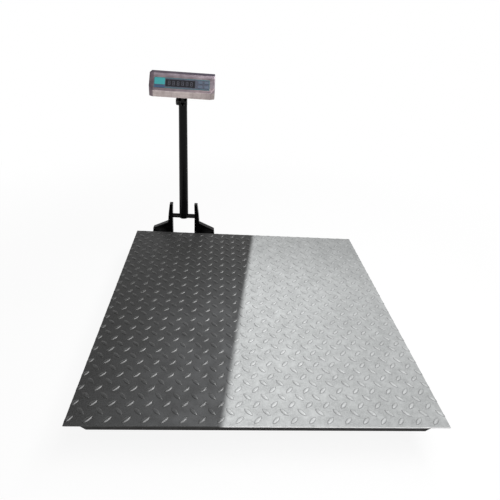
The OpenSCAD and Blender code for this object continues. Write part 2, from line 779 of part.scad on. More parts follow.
module housing_shell() color("LightGray") {
  difference() {
    at_tilt() difference() {
      housing_form(0, 0);
      housing_form(open_reach, sheet);
    }
    slope_opening([window_w, window_h], -window_left, window_v, lay_gap);
    each_key_opening();
  }
  // blocks that take the rear cover's screws
  at_tilt() difference() {
    each_cover_screw() mid_box(cover_block, [0, -cover_block.y / 2 - lay_gap, 0]);
    each_cover_screw() rotate([90, 0, 0]) cylinder(d = cover_screw_d + 2 * bolt_gap, h = 2 * cover_block.y);
  }
  // studs that carry the display board
  on_slope() for (c = corners)
    translate([c.x * (overlay_w / 2 - stud_side_in), window_v + c.y * overlay_h / 2, -board_back])
      cylinder(d = stud_post_d, h = board_back - sheet / 2);
}

floor_outline = inset(plan_outline(0), sheet + lay_gap);
module housing_floor() color("LightGray") at_tilt() difference() {
  intersection() {
    translate([0, 0, ind_up]) linear_extrude(base_plate_t) polygon(floor_outline);
    mid_box([2 * ind_w, ind_w, ind_w], [0, rear_y - lay_gap - ind_w / 2, ind_up]);
  }
  each_bracket_screw() translate([0, 0, -cut])
    cylinder(d = bracket_screw_d + 2 * bolt_gap, h = base_plate_t + 2 * cut);
}

socket_d = 18;
socket_bore = 9;
socket_reach = 10;
power_d = 14;
power_bore = 7;
fuse_d = 11;
fuse_reach = 6;
fuse_slot = 1.5;
module rear_cover() color("LightGray") at_tilt() difference() {
  box_at(
    [ind_w - 2 * sheet - 2 * lay_gap, sheet, ind_h - sheet - lay_gap],
    [lay_gap + sheet - ind_w / 2, rear_y, ind_up]
  );
  each_cover_screw() along_y() translate([0, 0, -cut])
    cylinder(d = cover_screw_d + 2 * bolt_gap, h = sheet + 2 * cut);
  mid_box(
    [rocker_w + 2 * frame_wall + 2 * lay_gap, frame_depth, 2 * rocker_r + 2 * frame_wall + 2 * lay_gap],
    [switch_x, rear_y, fitting_high]
  );
  for (f = fittings) translate([f[0], rear_y - cut, f[1]]) along_y()
    cylinder(d = f[2] + 2 * lay_gap, h = sheet + 2 * cut);
}
module cover_screws() color("Gray") at_tilt() each_cover_screw() along_y() {
  translate([0, 0, sheet]) cylinder(d = pan_head, h = pan_h);
  translate([0, 0, -cover_screw_len]) cylinder(d = cover_screw_d, h = cover_screw_len + sheet + cut);
}

// fittings on the rear cover as [x, z, body diameter, reach outside, bore]: the lead's socket, the fuse
// holder, which has a screwdriver slot and no bore, and the power cord's gland
fittings = [
  [fitting_x, fitting_high, socket_d, socket_reach, socket_bore],
  [fitting_x, fitting_low, fuse_d, fuse_reach, 0],
  [switch_x, fitting_low, power_d, rear_reach, power_bore]
];
module rear_sockets() color("DimGray") at_tilt() for (f = fittings)
  translate([f[0], rear_y, f[1]]) along_y() difference() {
    union() {
      translate([0, 0, sheet]) cylinder(d = f[2] + 2 * collar_rim, h = f[3] / 2);
      translate([0, 0, -fitting_inside]) cylinder(d = f[2], h = fitting_inside + sheet + f[3]);
      translate([0, 0, -fitting_nut_h]) cylinder(d = f[2] + 2 * fitting_nut_rim, h = fitting_nut_h, $fn = 6);
    }
    if (f[4] > 0) translate([0, 0, 2 * sheet]) cylinder(d = f[4], h = 2 * rear_reach);
    else mid_box([2 * f[2], fuse_slot, 2 * fuse_slot], [0, 0, sheet + f[3]]);
  }

module switch_frame() color("Black") at_tilt() translate([switch_x, ind_back, fitting_high]) difference() {
  union() {
    mid_box([rocker_w + 2 * bezel_rim, bezel_t, 2 * (rocker_r + bezel_rim)], [0, bezel_t / 2, 0]);
    mid_box(
      [rocker_w + 2 * frame_wall, frame_depth, 2 * (rocker_r + frame_wall)],
      [0, cut - frame_depth / 2, 0]
    );
  }
  mid_box(
    [rocker_w + 2 * slide_gap, frame_depth + bezel_t, 2 * (rocker_r + slide_gap)],
    [0, frame_wall + bezel_t - frame_depth / 2, 0]
  );
  translate([0, -cut, 0]) along_x() cylinder(d = pivot_d + 2 * run_gap, h = 2 * rocker_w, center = true);
}
module power_rocker() color("Black") at_tilt() translate([switch_x, ind_back - cut, fitting_high]) {
  intersection() {
    along_x() cylinder(r = rocker_r, h = rocker_w, center = true);
    rotate([90, 0, 90]) linear_extrude(rocker_w, center = true) polygon([
      [-rocker_r, -rocker_r],
      [rocker_tip, -rocker_r],
      [rocker_dip, 0],
      [rocker_tip, rocker_r],
      [-rocker_r, rocker_r]
    ]);
  }
  along_x() cylinder(d = pivot_d, h = rocker_w + frame_wall, center = true);
}

// Indicator front and inside

module front_overlay() color("DarkSlateGray") difference() {
  on_slope() translate([0, window_v, 0])
    linear_extrude(overlay_t) rounded([overlay_w, overlay_h], overlay_corner);
  slope_opening([window_w, window_h], -window_left, window_v, lay_gap);
  each_key_opening();
}
module display_window() color("Black") on_slope() translate([-window_left, window_v, -sheet])
  linear_extrude(sheet + overlay_t) rounded([window_w, window_h], window_corner);
module display_board() color("DarkGreen") on_slope()
  mid_box(
    [overlay_w - stud_side_in, overlay_h + 2 * board_rim, board_t],
    [0, window_v, -board_back - board_t / 2]
  );
module display_digits() color("DarkRed") on_slope() for (i = [0:digit_count - 1])
  mid_box(
    [digit_w, digit_h, board_back - sheet - digit_gap],
    [(i - (digit_count - 1) / 2) * digit_pitch - window_left, window_v, -(board_back + sheet + digit_gap) / 2]
  );
module key_switches() color("Gray") on_slope() for (i = [0:1]) for (j = [0:1])
  mid_box(key_switch, [key_x + i * key_pitch_x, key_v + j * key_pitch_v, key_switch.z / 2 - board_back]);

module key(i, j) color("LightGray") on_slope()
  translate([key_x + i * key_pitch_x, key_v + j * key_pitch_v, 0]) {
    translate([0, 0, -sheet - key_stem])
      linear_extrude(sheet + key_stem + overlay_t + key_out) rounded([key_w, key_h], key_corner);
    translate([0, 0, -sheet - lay_gap - key_flange_t])
      linear_extrude(key_flange_t) rounded([key_w + 2 * key_flange, key_h + 2 * key_flange], key_corner);
  }
module key_zero() key(0, 0);
module key_tare() key(1, 0);
module key_mode() key(0, 1);
module key_enter() key(1, 1);

inside_z = ind_up + base_plate_t;
main_board_size = [90, 40, board_t];
main_board_up = 6;
main_board_x = 60;
main_board_y = -25;
battery_size = [78, 44, 68];
battery_in = 20;
battery_x = battery_in - ind_w / 2;
transformer_size = [46, 34, 42];
transformer_x = 58;
block_gap = 2.5;
module main_board() color("DarkGreen") at_tilt() translate([main_board_x, main_board_y, inside_z]) {
  mid_box(main_board_size, [0, 0, main_board_up]);
  for (c = corners)
    translate([c.x * 4 / 9 * main_board_size.x, c.y * 3 / 8 * main_board_size.y, 0])
      cylinder(d = stud_post_d, h = main_board_up);
}
module battery() color("DimGray") at_tilt()
  box_at(battery_size, [battery_x, rear_y - block_gap - battery_size.y, inside_z]);
module transformer() color("DarkGray") at_tilt()
  box_at(transformer_size, [transformer_x, rear_y - block_gap - transformer_size.y, inside_z]);

deck_plate();
deck_skirt_front();
deck_skirt_rear();
deck_skirt_left();
deck_skirt_right();
deck_ribs();
load_pads();
load_buttons();
base_rail_front();
base_rail_rear();
base_rail_left();
base_rail_right();
base_cross_rail();
load_cell_spacers();
load_cells();
load_cell_bolts();
load_cell_leads();
foot_bosses();
lock_nuts();
foot_front_left();
foot_front_right();
foot_rear_left();
foot_rear_right();
junction_box();
junction_lid();
junction_board();
junction_glands();
junction_screws();
pillar_arm_left();
pillar_arm_right();
pillar_leg_left();
pillar_leg_right();
leg_bolts();
pillar_crossbar();
pillar_tube();
swivel_screw();
swivel_head();
tilt_bolt();
tilt_knob();
tilt_bracket();
bracket_screws();
housing_shell();
housing_floor();
rear_cover();
cover_screws();
front_overlay();
display_window();
display_board();
display_digits();
key_switches();
key_zero();
key_tare();
key_mode();
key_enter();
main_board();
battery();
transformer();
switch_frame();
power_rocker();
rear_sockets();
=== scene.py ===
"""Finishes and fine pieces of an electronic platform scale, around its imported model."""

import math

import bpy
import numpy as np
from mathutils import Matrix, Vector


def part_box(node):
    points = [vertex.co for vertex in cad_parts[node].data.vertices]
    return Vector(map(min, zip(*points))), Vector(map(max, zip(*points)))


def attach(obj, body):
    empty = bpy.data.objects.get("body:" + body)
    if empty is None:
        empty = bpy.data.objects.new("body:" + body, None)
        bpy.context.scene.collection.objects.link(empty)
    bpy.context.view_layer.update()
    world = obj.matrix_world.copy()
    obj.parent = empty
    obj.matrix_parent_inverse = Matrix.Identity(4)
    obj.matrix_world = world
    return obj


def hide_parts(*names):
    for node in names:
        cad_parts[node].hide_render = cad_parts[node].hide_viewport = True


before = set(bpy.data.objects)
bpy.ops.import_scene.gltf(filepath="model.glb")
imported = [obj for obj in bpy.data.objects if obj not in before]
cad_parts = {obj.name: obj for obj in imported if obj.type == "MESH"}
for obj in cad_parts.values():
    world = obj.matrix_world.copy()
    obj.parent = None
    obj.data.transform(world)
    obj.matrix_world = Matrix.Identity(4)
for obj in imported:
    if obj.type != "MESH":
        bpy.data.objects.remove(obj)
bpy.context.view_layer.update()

bl_info = {
    "name": "Platform Scale",
    "version": (1, 0, 0),
    "blender": (4, 5, 0),
    "location": "View3D > Sidebar > Platform Scale",
    "description": "Builds the finishes and fine pieces of an electronic platform scale",
    "category": "Object",
}

# Tread lug: powers of its taper and of its flank, and its shoulder's share of the half width
LUG_TAPER = 2.4
LUG_FLANK = 1.1
LUG_SHOULDER = 0.12

# Deck finishes: specular level, least and most roughness, roughness added on the silver side, and relief
LUG_FINISH = (0.7, 0.24, 0.34, 0.24, 0.03)
SHEET_FINISH = (0.36, 0.42, 0.52, 0.4, 0.12)

# Deck tones: reach of the painted glow that makes the painted shade paler, its start and end in depth, and
# how far painted shade keeps darkening the silver
PALER_REACH = 0.48
PALER_START = 0.36
PALER_FULL = -0.3
SHADE_REACH_RIGHT = 0.55
SHADE_REACH_BACK = 0.45

# What painted shade leaves of a colour: of the silver at the far side and at the back, and of the film in
# its wrinkles
PAINTED_SHADE_RIGHT = (0.74, 0.74, 0.74, 1)
PAINTED_SHADE_BACK = (0.78, 0.78, 0.78, 1)
WRINKLE_PAINTED_SHADE = (0.68, 0.66, 0.68, 1)

# Overlay: gap round its openings, and its plain panel, band and border
OPENING_GAP = 0.0003
PANEL_MARGIN = 0.005
PANEL_HEIGHT = 0.030
PANEL_UP = 0.007
BAND_HEIGHT = 0.012
FILM_CORNER = 0.003
BORDER_IN = 0.001
BORDER_WIDTH = 0.0009
BORDER_CORNER = 0.0032

# Floor: distances at which it starts to fade and is white, and its share of white before; white overhead
FLOOR_NEAR = 0.7
FLOOR_FAR = 2.2
FLOOR_WHITE = 0.9
CEILING = 0.32

# Screen colours that stay as they are
STEEL_RIM = (120, 116, 128)
# painted highlight of the plate's rolled edges
EDGE_HIGHLIGHT = (246, 246, 246)
DUST = (150, 144, 136)
BOARD_GREEN = (14, 74, 44)
BOARD_PALE = (18, 86, 50)
TRACK_GREEN = (60, 120, 70)
CORE_DARK = (70, 72, 76)
CORE_PALE = (104, 106, 110)

# Moulded nodes: material, screen colour and roughness
PLASTICS = {
    "junction_glands": ("gland_plastic", (34, 34, 36), 0.5),
    "tilt_knob": ("knob_plastic", (24, 24, 26), 0.4),
    "switch_frame": ("frame_plastic", (26, 26, 28), 0.45),
    "power_rocker": ("rocker_plastic", (40, 38, 38), 0.3),
    "rear_sockets": ("socket_plastic", (58, 58, 60), 0.4),
    "display_digits": ("digit_block", (60, 20, 20), 0.4),
    "key_switches": ("switch_block", (50, 50, 52), 0.5),
    "battery": ("battery_case", (44, 46, 50), 0.5),
}

# Lamps: place, the point they look at, and their width and height
KEY_LAMP = ((1.2, 0.4, 2.2), (0.0, 0.2, 0.15), (2.2, 0.55))
TOP_LAMP = ((0.5, -0.5, 2.4), (0.0, -0.3, 0.15), (2.2, 1.0))
FRONT_LAMP = ((-1.0, -3.2, 1.1), (-0.2, 0.0, 0.4), (1.6, 1.0))


# Colours and sizes that a user would change

def shade(red, green, blue):
    """Turn a screen colour of 0 to 255 into the linear colour that Blender's sockets take."""
    screen = np.array([red, green, blue]) / 255
    linear = np.where(screen <= 0.04045, screen / 12.92, ((screen + 0.055) / 1.055) ** 2.4)
    return (*linear.tolist(), 1.0)


def colour(name, description, default):
    """A colour property with its default given as a screen colour."""
    return bpy.props.FloatVectorProperty(
        name=name, description=description, size=4, min=0, max=1, subtype="COLOR", default=shade(*default)
    )


def number(name, description, default, **options):
    """A plain number property."""
    return bpy.props.FloatProperty(name=name, description=description, default=default, **options)


def length(name, description, default, least=0):
    """A length property in metres."""
    return number(name, description, default, min=least, precision=4, unit="LENGTH")


class DeckLook(bpy.types.PropertyGroup):
    """Tread lugs and the two tones of the deck plate: bare silver, and painted shade over its left part."""

    lug_length: length("Lug length", "Length of a tread lug", 0.030)
    lug_width: length("Lug width", "Width of a tread lug at its middle", 0.012)
    lug_height: length("Lug height", "Height of a tread lug above the plate", 0.0018)
    crown: number("Crown", "Share of a lug's width that is flat on top", 0.42, min=0, max=0.8)
    lug_pitch: length("Lug pitch", "Distance between like lugs", 0.048)
    first_lug_x: length("First lug, side", "Centre of the first lug from the left edge", 0.007)
    first_lug_y: length("First lug, front", "Centre of the first lug from the front edge", 0.018)
    edge_fall: length("Edge fall", "How far from the plate's edge its shears press the lugs down", 0.006)
    rolled_edge: length("Rolled edge", "Radius of the plate's edges", 0.0012)
    silver: colour("Silver side", "Bare rolled steel of the right side", (184, 186, 186))
    # dark: painted shade, the colour of the plate's shaded left part
    dark: colour("Dark side", "Dark coat of the left side", (26, 25, 23))
    # painted glow: the painted shade made paler next to its edge at the front
    shade_glow_near_edge: colour("Dark side, inner", "Dark coat next to the tone edge at the front", (80, 81, 82))
    # tone edge: where the painted shade ends
    tone_edge: length("Tone edge", "Where the two tones meet, from the deck's middle", -0.0265, -1)
    tone_slant: number("Tone slant", "Sideways run of the tone edge for a metre of depth", 0.1422)
    tone_soft: length("Tone softness", "Width of the change from one tone to the other", 0.024)


class FrameLook(bpy.types.PropertyGroup):
    """Paint and plating of the base, the skirt and the pillar."""

    skirt: colour("Skirt paint", "Satin paint of the skirt and ribs", (18, 17, 16))
    base: colour("Base paint", "Satin paint of the base rails", (70, 72, 76))
    enamel: colour("Enamel", "Gloss black enamel of the pillar", (8, 8, 9))
    zinc: colour("Zinc", "Zinc plating of bolts and feet", (168, 168, 166))
    alloy: colour("Cell alloy", "Machined aluminium of the load cells", (190, 191, 194))
    rubber: colour("Lead rubber", "Sheath of the load-cell leads", (22, 22, 23))


class IndicatorLook(bpy.types.PropertyGroup):
    """Sheet housing, overlay and display of the indicator."""

    lip_height: length("Lip height", "Height of the upright lip", 0.023)
    slope_run: length("Slope run", "Depth of the sloped front", 0.055)
    corner_cut: length("Corner cut", "Bevel at the front corners", 0.015)
    sheet: length("Sheet", "Thickness of the housing sheet", 0.0015)
    bend: length("Bend", "Radius of the sheet's bends", 0.003)
    overlay_width: length("Overlay width", "Width of the front overlay", 0.212)
    overlay_height: length("Overlay height", "Height of the front overlay", 0.045)
    overlay_up: length("Overlay place", "Distance from the lip up to the overlay", 0.012)
    overlay_thick: length("Overlay thickness", "Thickness of the overlay", 0.0008)
    window_width: length("Window width", "Width of the display window", 0.112)
    window_height: length("Window height", "Height of the display window", 0.030)
    window_left: length("Window place", "Window's centre to the left of the middle", 0.006)
    key_width: length("Key width", "Width of a key", 0.016)
    key_height: length("Key height", "Height of a key", 0.012)
    key_x: length("First key", "Centre of the inner keys from the middle", 0.070)
    key_pitch_x: length("Key pitch, across", "Distance between keys across", 0.024)
    key_pitch_v: length("Key pitch, up", "Distance between keys up the slope", 0.020)
    digit_width: length("Digit width", "Width of a digit's segments", 0.0095)
    digit_height: length("Digit height", "Height of a digit's segments", 0.0185)
    digit_pitch: length("Digit pitch", "Distance between digits", 0.017)
    stroke: length("Segment", "Width of a digit's segment", 0.0022)
    film: length("Film", "Thickness of a printed film", 0.00006)
    steel: colour("Housing steel", "Brushed stainless sheet", (166, 156, 153))
    film_share: number("Film share", "How much the film tints the sheet above the lip", 0.8, min=0, max=1)
    film_low: colour("Film, first tint", "Tint of the film on the sheet", (166, 148, 153))
    film_high: colour("Film, second tint", "Other tint of the film on the sheet", (134, 125, 135))
    # painted highlight along the slope's top
    slope_top_highlight: colour("Film, pale tint", "Tint of the film along the top of the slope", (184, 171, 180))
    # painted reflection, dark, at the left end and on the top
    dark_reflection_tint: colour("Film, deep tint", "Tint of the film at the left end and on the top", (114, 100, 108))
    # painted reflection, blue, at the right of the top
    blue_reflection_tint: colour("Film, blue tint", "Tint of the film at the right of the top", (61, 53, 82))
    overlay: colour("Overlay", "Slate ground of the overlay", (66, 70, 84))
    panel: colour("Panel", "Plain panel left of the window", (54, 146, 148))
    band: colour("Band", "Plain band under the panel", (52, 74, 104))
    window: colour("Window", "Smoked acrylic of the window", (30, 30, 34))
    segment: colour("Segment colour", "Unlit segments behind the window", (74, 74, 84))
    key: colour("Key colour", "Key caps", (72, 84, 102))


class StageLook(bpy.types.PropertyGroup):
    """Floor, light and camera."""

    floor: colour("Floor", "Colour of the floor", (238, 238, 238))
    floor_size: length("Floor size", "Side of the floor", 60.0)
    ambient: number("Ambient", "Even light from all around", 0.18, min=0)
    key_power: number("Key light", "Power of the lamp at the right", 32, min=0, unit="POWER")
    top_power: number("Top light", "Power of the lamp over the front", 40, min=0, unit="POWER")
    front_power: number("Front light", "Power of the soft lamp at the front", 19, min=0, unit="POWER")
    lens: number("Lens", "Focal length in millimetres on a 36 mm sensor", 28.51, min=1)
    pitch: number("Pitch", "How far the camera looks down", math.radians(31.27), subtype="ANGLE")
    yaw: number("Yaw", "How far the camera looks to the right", math.radians(4.87), subtype="ANGLE")
    roll: number("Roll", "How far the camera leans", math.radians(4.70), subtype="ANGLE")
    eye: bpy.props.FloatVectorProperty(
        name="Eye", description="Place of the camera", default=(-0.143, -1.176, 1.026), subtype="TRANSLATION"
    )
    shift: number("Shift", "Sideways shift of the lens", 0.014)


# Node trees

def fill(tree, socket, value):
    """Link a socket to another, or set its value."""
    if isinstance(value, bpy.types.NodeSocket):
        tree.links.new(value, socket)
    else:
        socket.default_value = value


def put(tree, kind, options=None, **inputs):
    """Add a shader node, set its options and fill its inputs by name, with _ for a space."""
    node = tree.nodes.new("ShaderNode" + kind)
    for option, value in (options or {}).items():
        setattr(node, option, value)
    for name, value in inputs.items():
        fill(tree, node.inputs[name.replace("_", " ")], value)
    return node


def math_of(tree, operation, first, second=0.0):
    """Add a Math node and return its output."""
    node = put(tree, "Math", {"operation": operation})
    fill(tree, node.inputs[0], first)
    fill(tree, node.inputs[1], second)
    return node.outputs[0]


def blend_of(tree, factor, first, second, mode="MIX"):
    """Mix two colours by a factor and return the colour."""
    node = tree.nodes.new("ShaderNodeMix")
    node.data_type = "RGBA"
    node.blend_type = mode
    fill(tree, node.inputs["Factor"], factor)
    fill(tree, node.inputs[6], first)
    fill(tree, node.inputs[7], second)
    return node.outputs[2]


def axes_of(tree, kind):
    """Split a texture coordinate and return its X, Y and Z outputs."""
    return put(tree, "SeparateXYZ", Vector=put(tree, "TexCoord").outputs[kind]).outputs


def ramp_of(tree, value, low, high, start=0.0, end=1.0):
    """Ease a value between two bounds into start to end."""
    node = put(tree, "MapRange", {"interpolation_type": "SMOOTHSTEP"}, Value=value)
    for name, bound in (("From Min", low), ("From Max", high), ("To Min", start), ("To Max", end)):
        fill(tree, node.inputs[name], bound)
    return node.outputs["Result"]


def new_group(name, inputs, outputs):
    """Start a shader node group with named inputs and outputs; returns its tree and its two end nodes."""
    group = bpy.data.node_groups.new(name, "ShaderNodeTree")
    for label, (kind, default) in inputs.items():
        socket = group.interface.new_socket(label, in_out="INPUT", socket_type="NodeSocket" + kind)
        socket.default_value = default
    for label, kind in outputs.items():
        group.interface.new_socket(label, in_out="OUTPUT", socket_type="NodeSocket" + kind)
    return group, group.nodes.new("NodeGroupInput"), group.nodes.new("NodeGroupOutput")


def grain_group():
    """Cloudy grain: fractal noise in Object coordinates, divided by a size and stretched by axis."""
    if "grain" in bpy.data.node_groups:
        return bpy.data.node_groups["grain"]
    inputs = {
        "Size": ("Float", 0.01),
        "Stretch": ("Vector", (1, 1, 1)),
        "Low": ("Float", 0.0),
        "High": ("Float", 1.0),
    }
    tree, start, end = new_group("grain", inputs, {"Value": "Float"})
    place = put(tree, "TexCoord").outputs["Object"]
    drawn = put(tree, "VectorMath", {"operation": "MULTIPLY"})
    fill(tree, drawn.inputs[0], place)
    fill(tree, drawn.inputs[1], start.outputs["Stretch"])
    scale = math_of(tree, "DIVIDE", 1.0, start.outputs["Size"])
    noise = put(tree, "TexNoise", Vector=drawn.outputs[0], Scale=scale, Detail=4.0, Roughness=0.6)
    value = ramp_of(tree, noise.outputs["Fac"], 0.3, 0.7, start.outputs["Low"], start.outputs["High"])
    fill(tree, end.inputs["Value"], value)
    return tree


def dust_group():
    """Settled dust: upward faces, broken up by noise."""
    if "dust" in bpy.data.node_groups:
        return bpy.data.node_groups["dust"]
    tree, start, end = new_group("dust", {"Amount": ("Float", 0.2)}, {"Mask": "Float"})
    facing = put(tree, "SeparateXYZ", Vector=put(tree, "NewGeometry").outputs["Normal"])
    upward = ramp_of(tree, facing.outputs["Z"], 0.2, 1.0)
    place = put(tree, "TexCoord").outputs["Object"]
    noise = put(tree, "TexNoise", Vector=place, Scale=22.0, Detail=5.0)
    broken = ramp_of(tree, noise.outputs["Fac"], 0.35, 0.7, 0.0, start.outputs["Amount"])
    fill(tree, end.inputs["Mask"], math_of(tree, "MULTIPLY", upward, broken))
    return tree


def grain(tree, size, low=0.0, high=1.0, stretch=(1, 1, 1)):
    """Place the grain group with its own values and return its output."""
    node = tree.nodes.new("ShaderNodeGroup")
    node.node_tree = grain_group()
    for name, value in (("Size", size), ("Low", low), ("High", high), ("Stretch", stretch)):
        node.inputs[name].default_value = value
    return node.outputs["Value"]


def dust(tree, amount):
    """Place the dust group and return its mask."""
    node = tree.nodes.new("ShaderNodeGroup")
    node.node_tree = dust_group()
    node.inputs["Amount"].default_value = amount
    return node.outputs["Mask"]


def tint(base, factor):
    """A colour made lighter or darker by a factor."""
    return tuple(min(1.0, part * factor) for part in base[:3]) + (1.0,)


def new_material(name, **constants):
    """Start a material; returns it, its tree and its Principled shader with constants set on it."""
    material = bpy.data.materials.new(name)
    material.use_nodes = True
    tree = material.node_tree
    shader = tree.nodes["Principled BSDF"]
    for label, value in constants.items():
        shader.inputs[label.replace("_", " ")].default_value = value
    return material, tree, shader


def relief(tree, shader, height, strength, depth=0.001):
    """Feed a height through a Bump node into the shader's Normal."""
    bump = put(tree, "Bump", Height=height, Strength=strength, Distance=depth)
    fill(tree, shader.inputs["Normal"], bump.outputs["Normal"])


def grained_material(name, base, size, spread, rough, stretch=(1, 1, 1), bump=0.1, dusty=0.0, **constants):
    """A finish whose colour drifts with grain of a given size, its roughness with finer grain and its relief
    with the finest, under a share of dust."""
    material, tree, shader = new_material(name, **constants)
    drift = grain(tree, size, stretch=stretch)
    body = blend_of(tree, drift, tint(base, 1 - spread), tint(base, 1 + spread))
    if dusty > 0:
        body = blend_of(tree, dust(tree, dusty), body, shade(*DUST))
    fill(tree, shader.inputs["Base Color"], body)
    fill(tree, shader.inputs["Roughness"], grain(tree, size * 0.6, rough * 0.8, rough * 1.25, stretch))
    relief(tree, shader, grain(tree, size * 0.25, stretch=stretch), bump)
    return material


# Meshes

def add_object(name, data):
    """Make an object of a mesh, a lamp or a camera and put it in the scene."""
    made = bpy.data.objects.new(name, data)
    bpy.context.scene.collection.objects.link(made)
    return made


def new_piece(name, points, faces, material, body, slot, smooth=True):
    """Make a piece from an (n, 3) array of points and its faces, and hand it to its body."""
    mesh = bpy.data.meshes.new(name)
    mesh.from_pydata(np.asarray(points).tolist(), [], faces)
    mesh.update()
    mesh.polygons.foreach_set("use_smooth", np.full(len(mesh.polygons), smooth))
    piece = add_object(name, mesh)
    mesh.materials.append(material)
    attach(piece, body)
    return piece


def dress(names, material):
    """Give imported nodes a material."""
    for name in names:
        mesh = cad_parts[name].data
        mesh.materials.clear()
        mesh.materials.append(material)


def ring_faces(rings, count):
    """Quads between closed rings of points, each ring listed after the one above it."""
    ring = np.arange(rings - 1)[:, None] * count
    here = np.arange(count)[None, :]
    after = (here + 1) % count
    quads = np.stack([ring + here, ring + count + here, ring + count + after, ring + after], axis=-1)
    return quads.reshape(-1, 4).tolist()


def lug_points(look, stations=9, half_sweep=0.42):
    """Points of one tread lug at the origin: over the lens |y| = w/2 (1 - |u|^taper) the height is
    h (1 - s^flank) (1 - |u|^taper), with u along the lug as the sine of evenly spaced angles, v across it,
    s the share of v outside the flat crown, and a single point at each end."""
    along = np.sin(np.linspace(-half_sweep, half_sweep, stations) * math.pi)
    shoulder = look.crown + LUG_SHOULDER
    across = np.array([-1, -shoulder, -look.crown, look.crown, shoulder, 1])
    u, v = np.meshgrid(along, across, indexing="ij")
    s = np.clip((np.abs(v) - look.crown) / (1 - look.crown), 0, 1)
    x = u * look.lug_length / 2
    fall = 1 - np.abs(u) ** LUG_TAPER
    y = v * look.lug_width / 2 * fall
    z = look.lug_height * (1 - s ** LUG_FLANK) * fall
    ends = np.array([[-look.lug_length / 2, 0, 0], [look.lug_length / 2, 0, 0]])
    return np.vstack([np.stack([x, y, z], axis=-1).reshape(-1, 3), ends]), u.shape


def lug_faces(rows, columns):
    """Quads over a lug's grid, and triangles to the point at each end."""
    i, j = np.meshgrid(np.arange(rows - 1), np.arange(columns - 1), indexing="ij")
    corner = i * columns + j
    quads = np.stack([corner, corner + columns, corner + columns + 1, corner + 1], axis=-1).reshape(-1, 4)
    step = np.arange(columns - 1)
    last = (rows - 1) * columns
    first_end = np.stack([np.full_like(step, rows * columns), step, step + 1], axis=-1)
    other_end = np.stack([np.full_like(step, rows * columns + 1), last + step + 1, last + step], axis=-1)
    return quads, np.vstack([first_end, other_end])


def lug_centres(look, low, high, overhang=0.15):
    """Centres of the lugs turned one way, on a square grid, and of those turned the other way, half a pitch
    further on. These may lie past the right and rear edge by a small share of a lug's length."""
    first = np.array([low.x + look.first_lug_x, low.y + look.first_lug_y])
    counts = ((np.array([high.x, high.y]) - first) / look.lug_pitch).astype(int) + 1
    grid = np.stack(np.meshgrid(np.arange(counts[0]), np.arange(counts[1]), indexing="ij"), axis=-1)
    rising = first + grid.reshape(-1, 2) * look.lug_pitch
    falling = rising + look.lug_pitch / 2
    past = overhang * look.lug_length
    inside = (falling[:, 0] < high.x + past) & (falling[:, 1] < high.y + past)
    return rising, falling[inside]


def tread_lugs(look, low, high):
    """All lugs of the deck, turned to +45 degrees at one set of centres and to -45 degrees at the other.
    Points past the plate's edge are drawn back to it, and near it the height falls evenly to nothing."""
    lug, (rows, columns) = lug_points(look)
    quads, ends = lug_faces(rows, columns)
    rising, falling = lug_centres(look, low, high)
    turned = []
    for centres, angle in ((rising, math.pi / 4), (falling, -math.pi / 4)):
        turn = np.array([[math.cos(angle), math.sin(angle)], [-math.sin(angle), math.cos(angle)]])
        spread = centres[:, None, :] + (lug[:, :2] @ turn)[None, :, :]
        height = np.broadcast_to(lug[:, 2], spread.shape[:2])
        turned.append(np.concatenate([spread, height[..., None]], axis=-1))
    points = np.concatenate(turned).reshape(-1, 3)
    near = np.array(low)[:2]
    far = np.array(high)[:2]
    plan = np.clip(points[:, :2], near, far)
    points[:, :2] = plan
    beside = np.minimum(plan - near, far - plan).min(axis=1)
    points[:, 2] *= np.clip(beside / look.edge_fall, 0, 1)
    points[:, 2] += high.z - look.lug_height
    offsets = np.arange(len(points) // len(lug)) * len(lug)
    four = (offsets[:, None, None] + quads[None]).reshape(-1, 4).tolist()
    three = (offsets[:, None, None] + ends[None]).reshape(-1, 3).tolist()
    return points, four + three


def rolled_plate(low, high, radius, steps=4):
    """Flat plate whose edge is a quarter circle above and below: rings of four corners, each drawn in by
    r (1 - sin a) and r (1 - cos a) below the top."""
    angle = np.linspace(0, math.pi / 2, steps)
    draw = radius * (1 - np.sin(angle))
    drop = radius * (1 - np.cos(angle))
    inset = np.concatenate([draw, draw[::-1]])
    level = np.concatenate([high.z - drop, low.z + drop[::-1]])
    sides = np.array([[low.x, low.y], [high.x, low.y], [high.x, high.y], [low.x, high.y]])
    inward = np.array([[1, 1], [-1, 1], [-1, -1], [1, -1]])
    plan = sides[None] + inward[None] * inset[:, None, None]
    height = np.broadcast_to(level[:, None, None], (2 * steps, 4, 1))
    points = np.concatenate([plan, height], axis=-1).reshape(-1, 3)
    underside = list(range(len(points) - 1, len(points) - 5, -1))
    return points, ring_faces(2 * steps, 4) + [[0, 1, 2, 3], underside]


def slope_place(look, across, up, out):
    """Points on the sloped front: across from its middle, up it from the lip, and out along its normal."""
    low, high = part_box("housing_shell")
    rise = high.z - low.z - look.lip_height
    span = math.hypot(look.slope_run, rise)
    climb = np.array([0, look.slope_run, rise]) / span
    outward = np.array([0, -rise, look.slope_run]) / span
    start = np.array([(low.x + high.x) / 2, low.y, low.z + look.lip_height])
    axes = np.stack([[1, 0, 0], climb, outward])
    return start + np.stack(np.broadcast_arrays(across, up, out), axis=-1) @ axes


def rounded_outline(width, height, radius, steps=6):
    """Outline of a rounded rectangle: a circle of angles pushed out to the four corners."""
    quarter = np.linspace(0, math.pi / 2, steps)
    angle = (quarter[None, :] + np.arange(4)[:, None] * math.pi / 2).ravel()
    sign_x = np.repeat([1, -1, -1, 1], steps)
    sign_y = np.repeat([1, 1, -1, -1], steps)
    x = sign_x * (width / 2 - radius) + radius * np.cos(angle)
    y = sign_y * (height / 2 - radius) + radius * np.sin(angle)
    return x, y


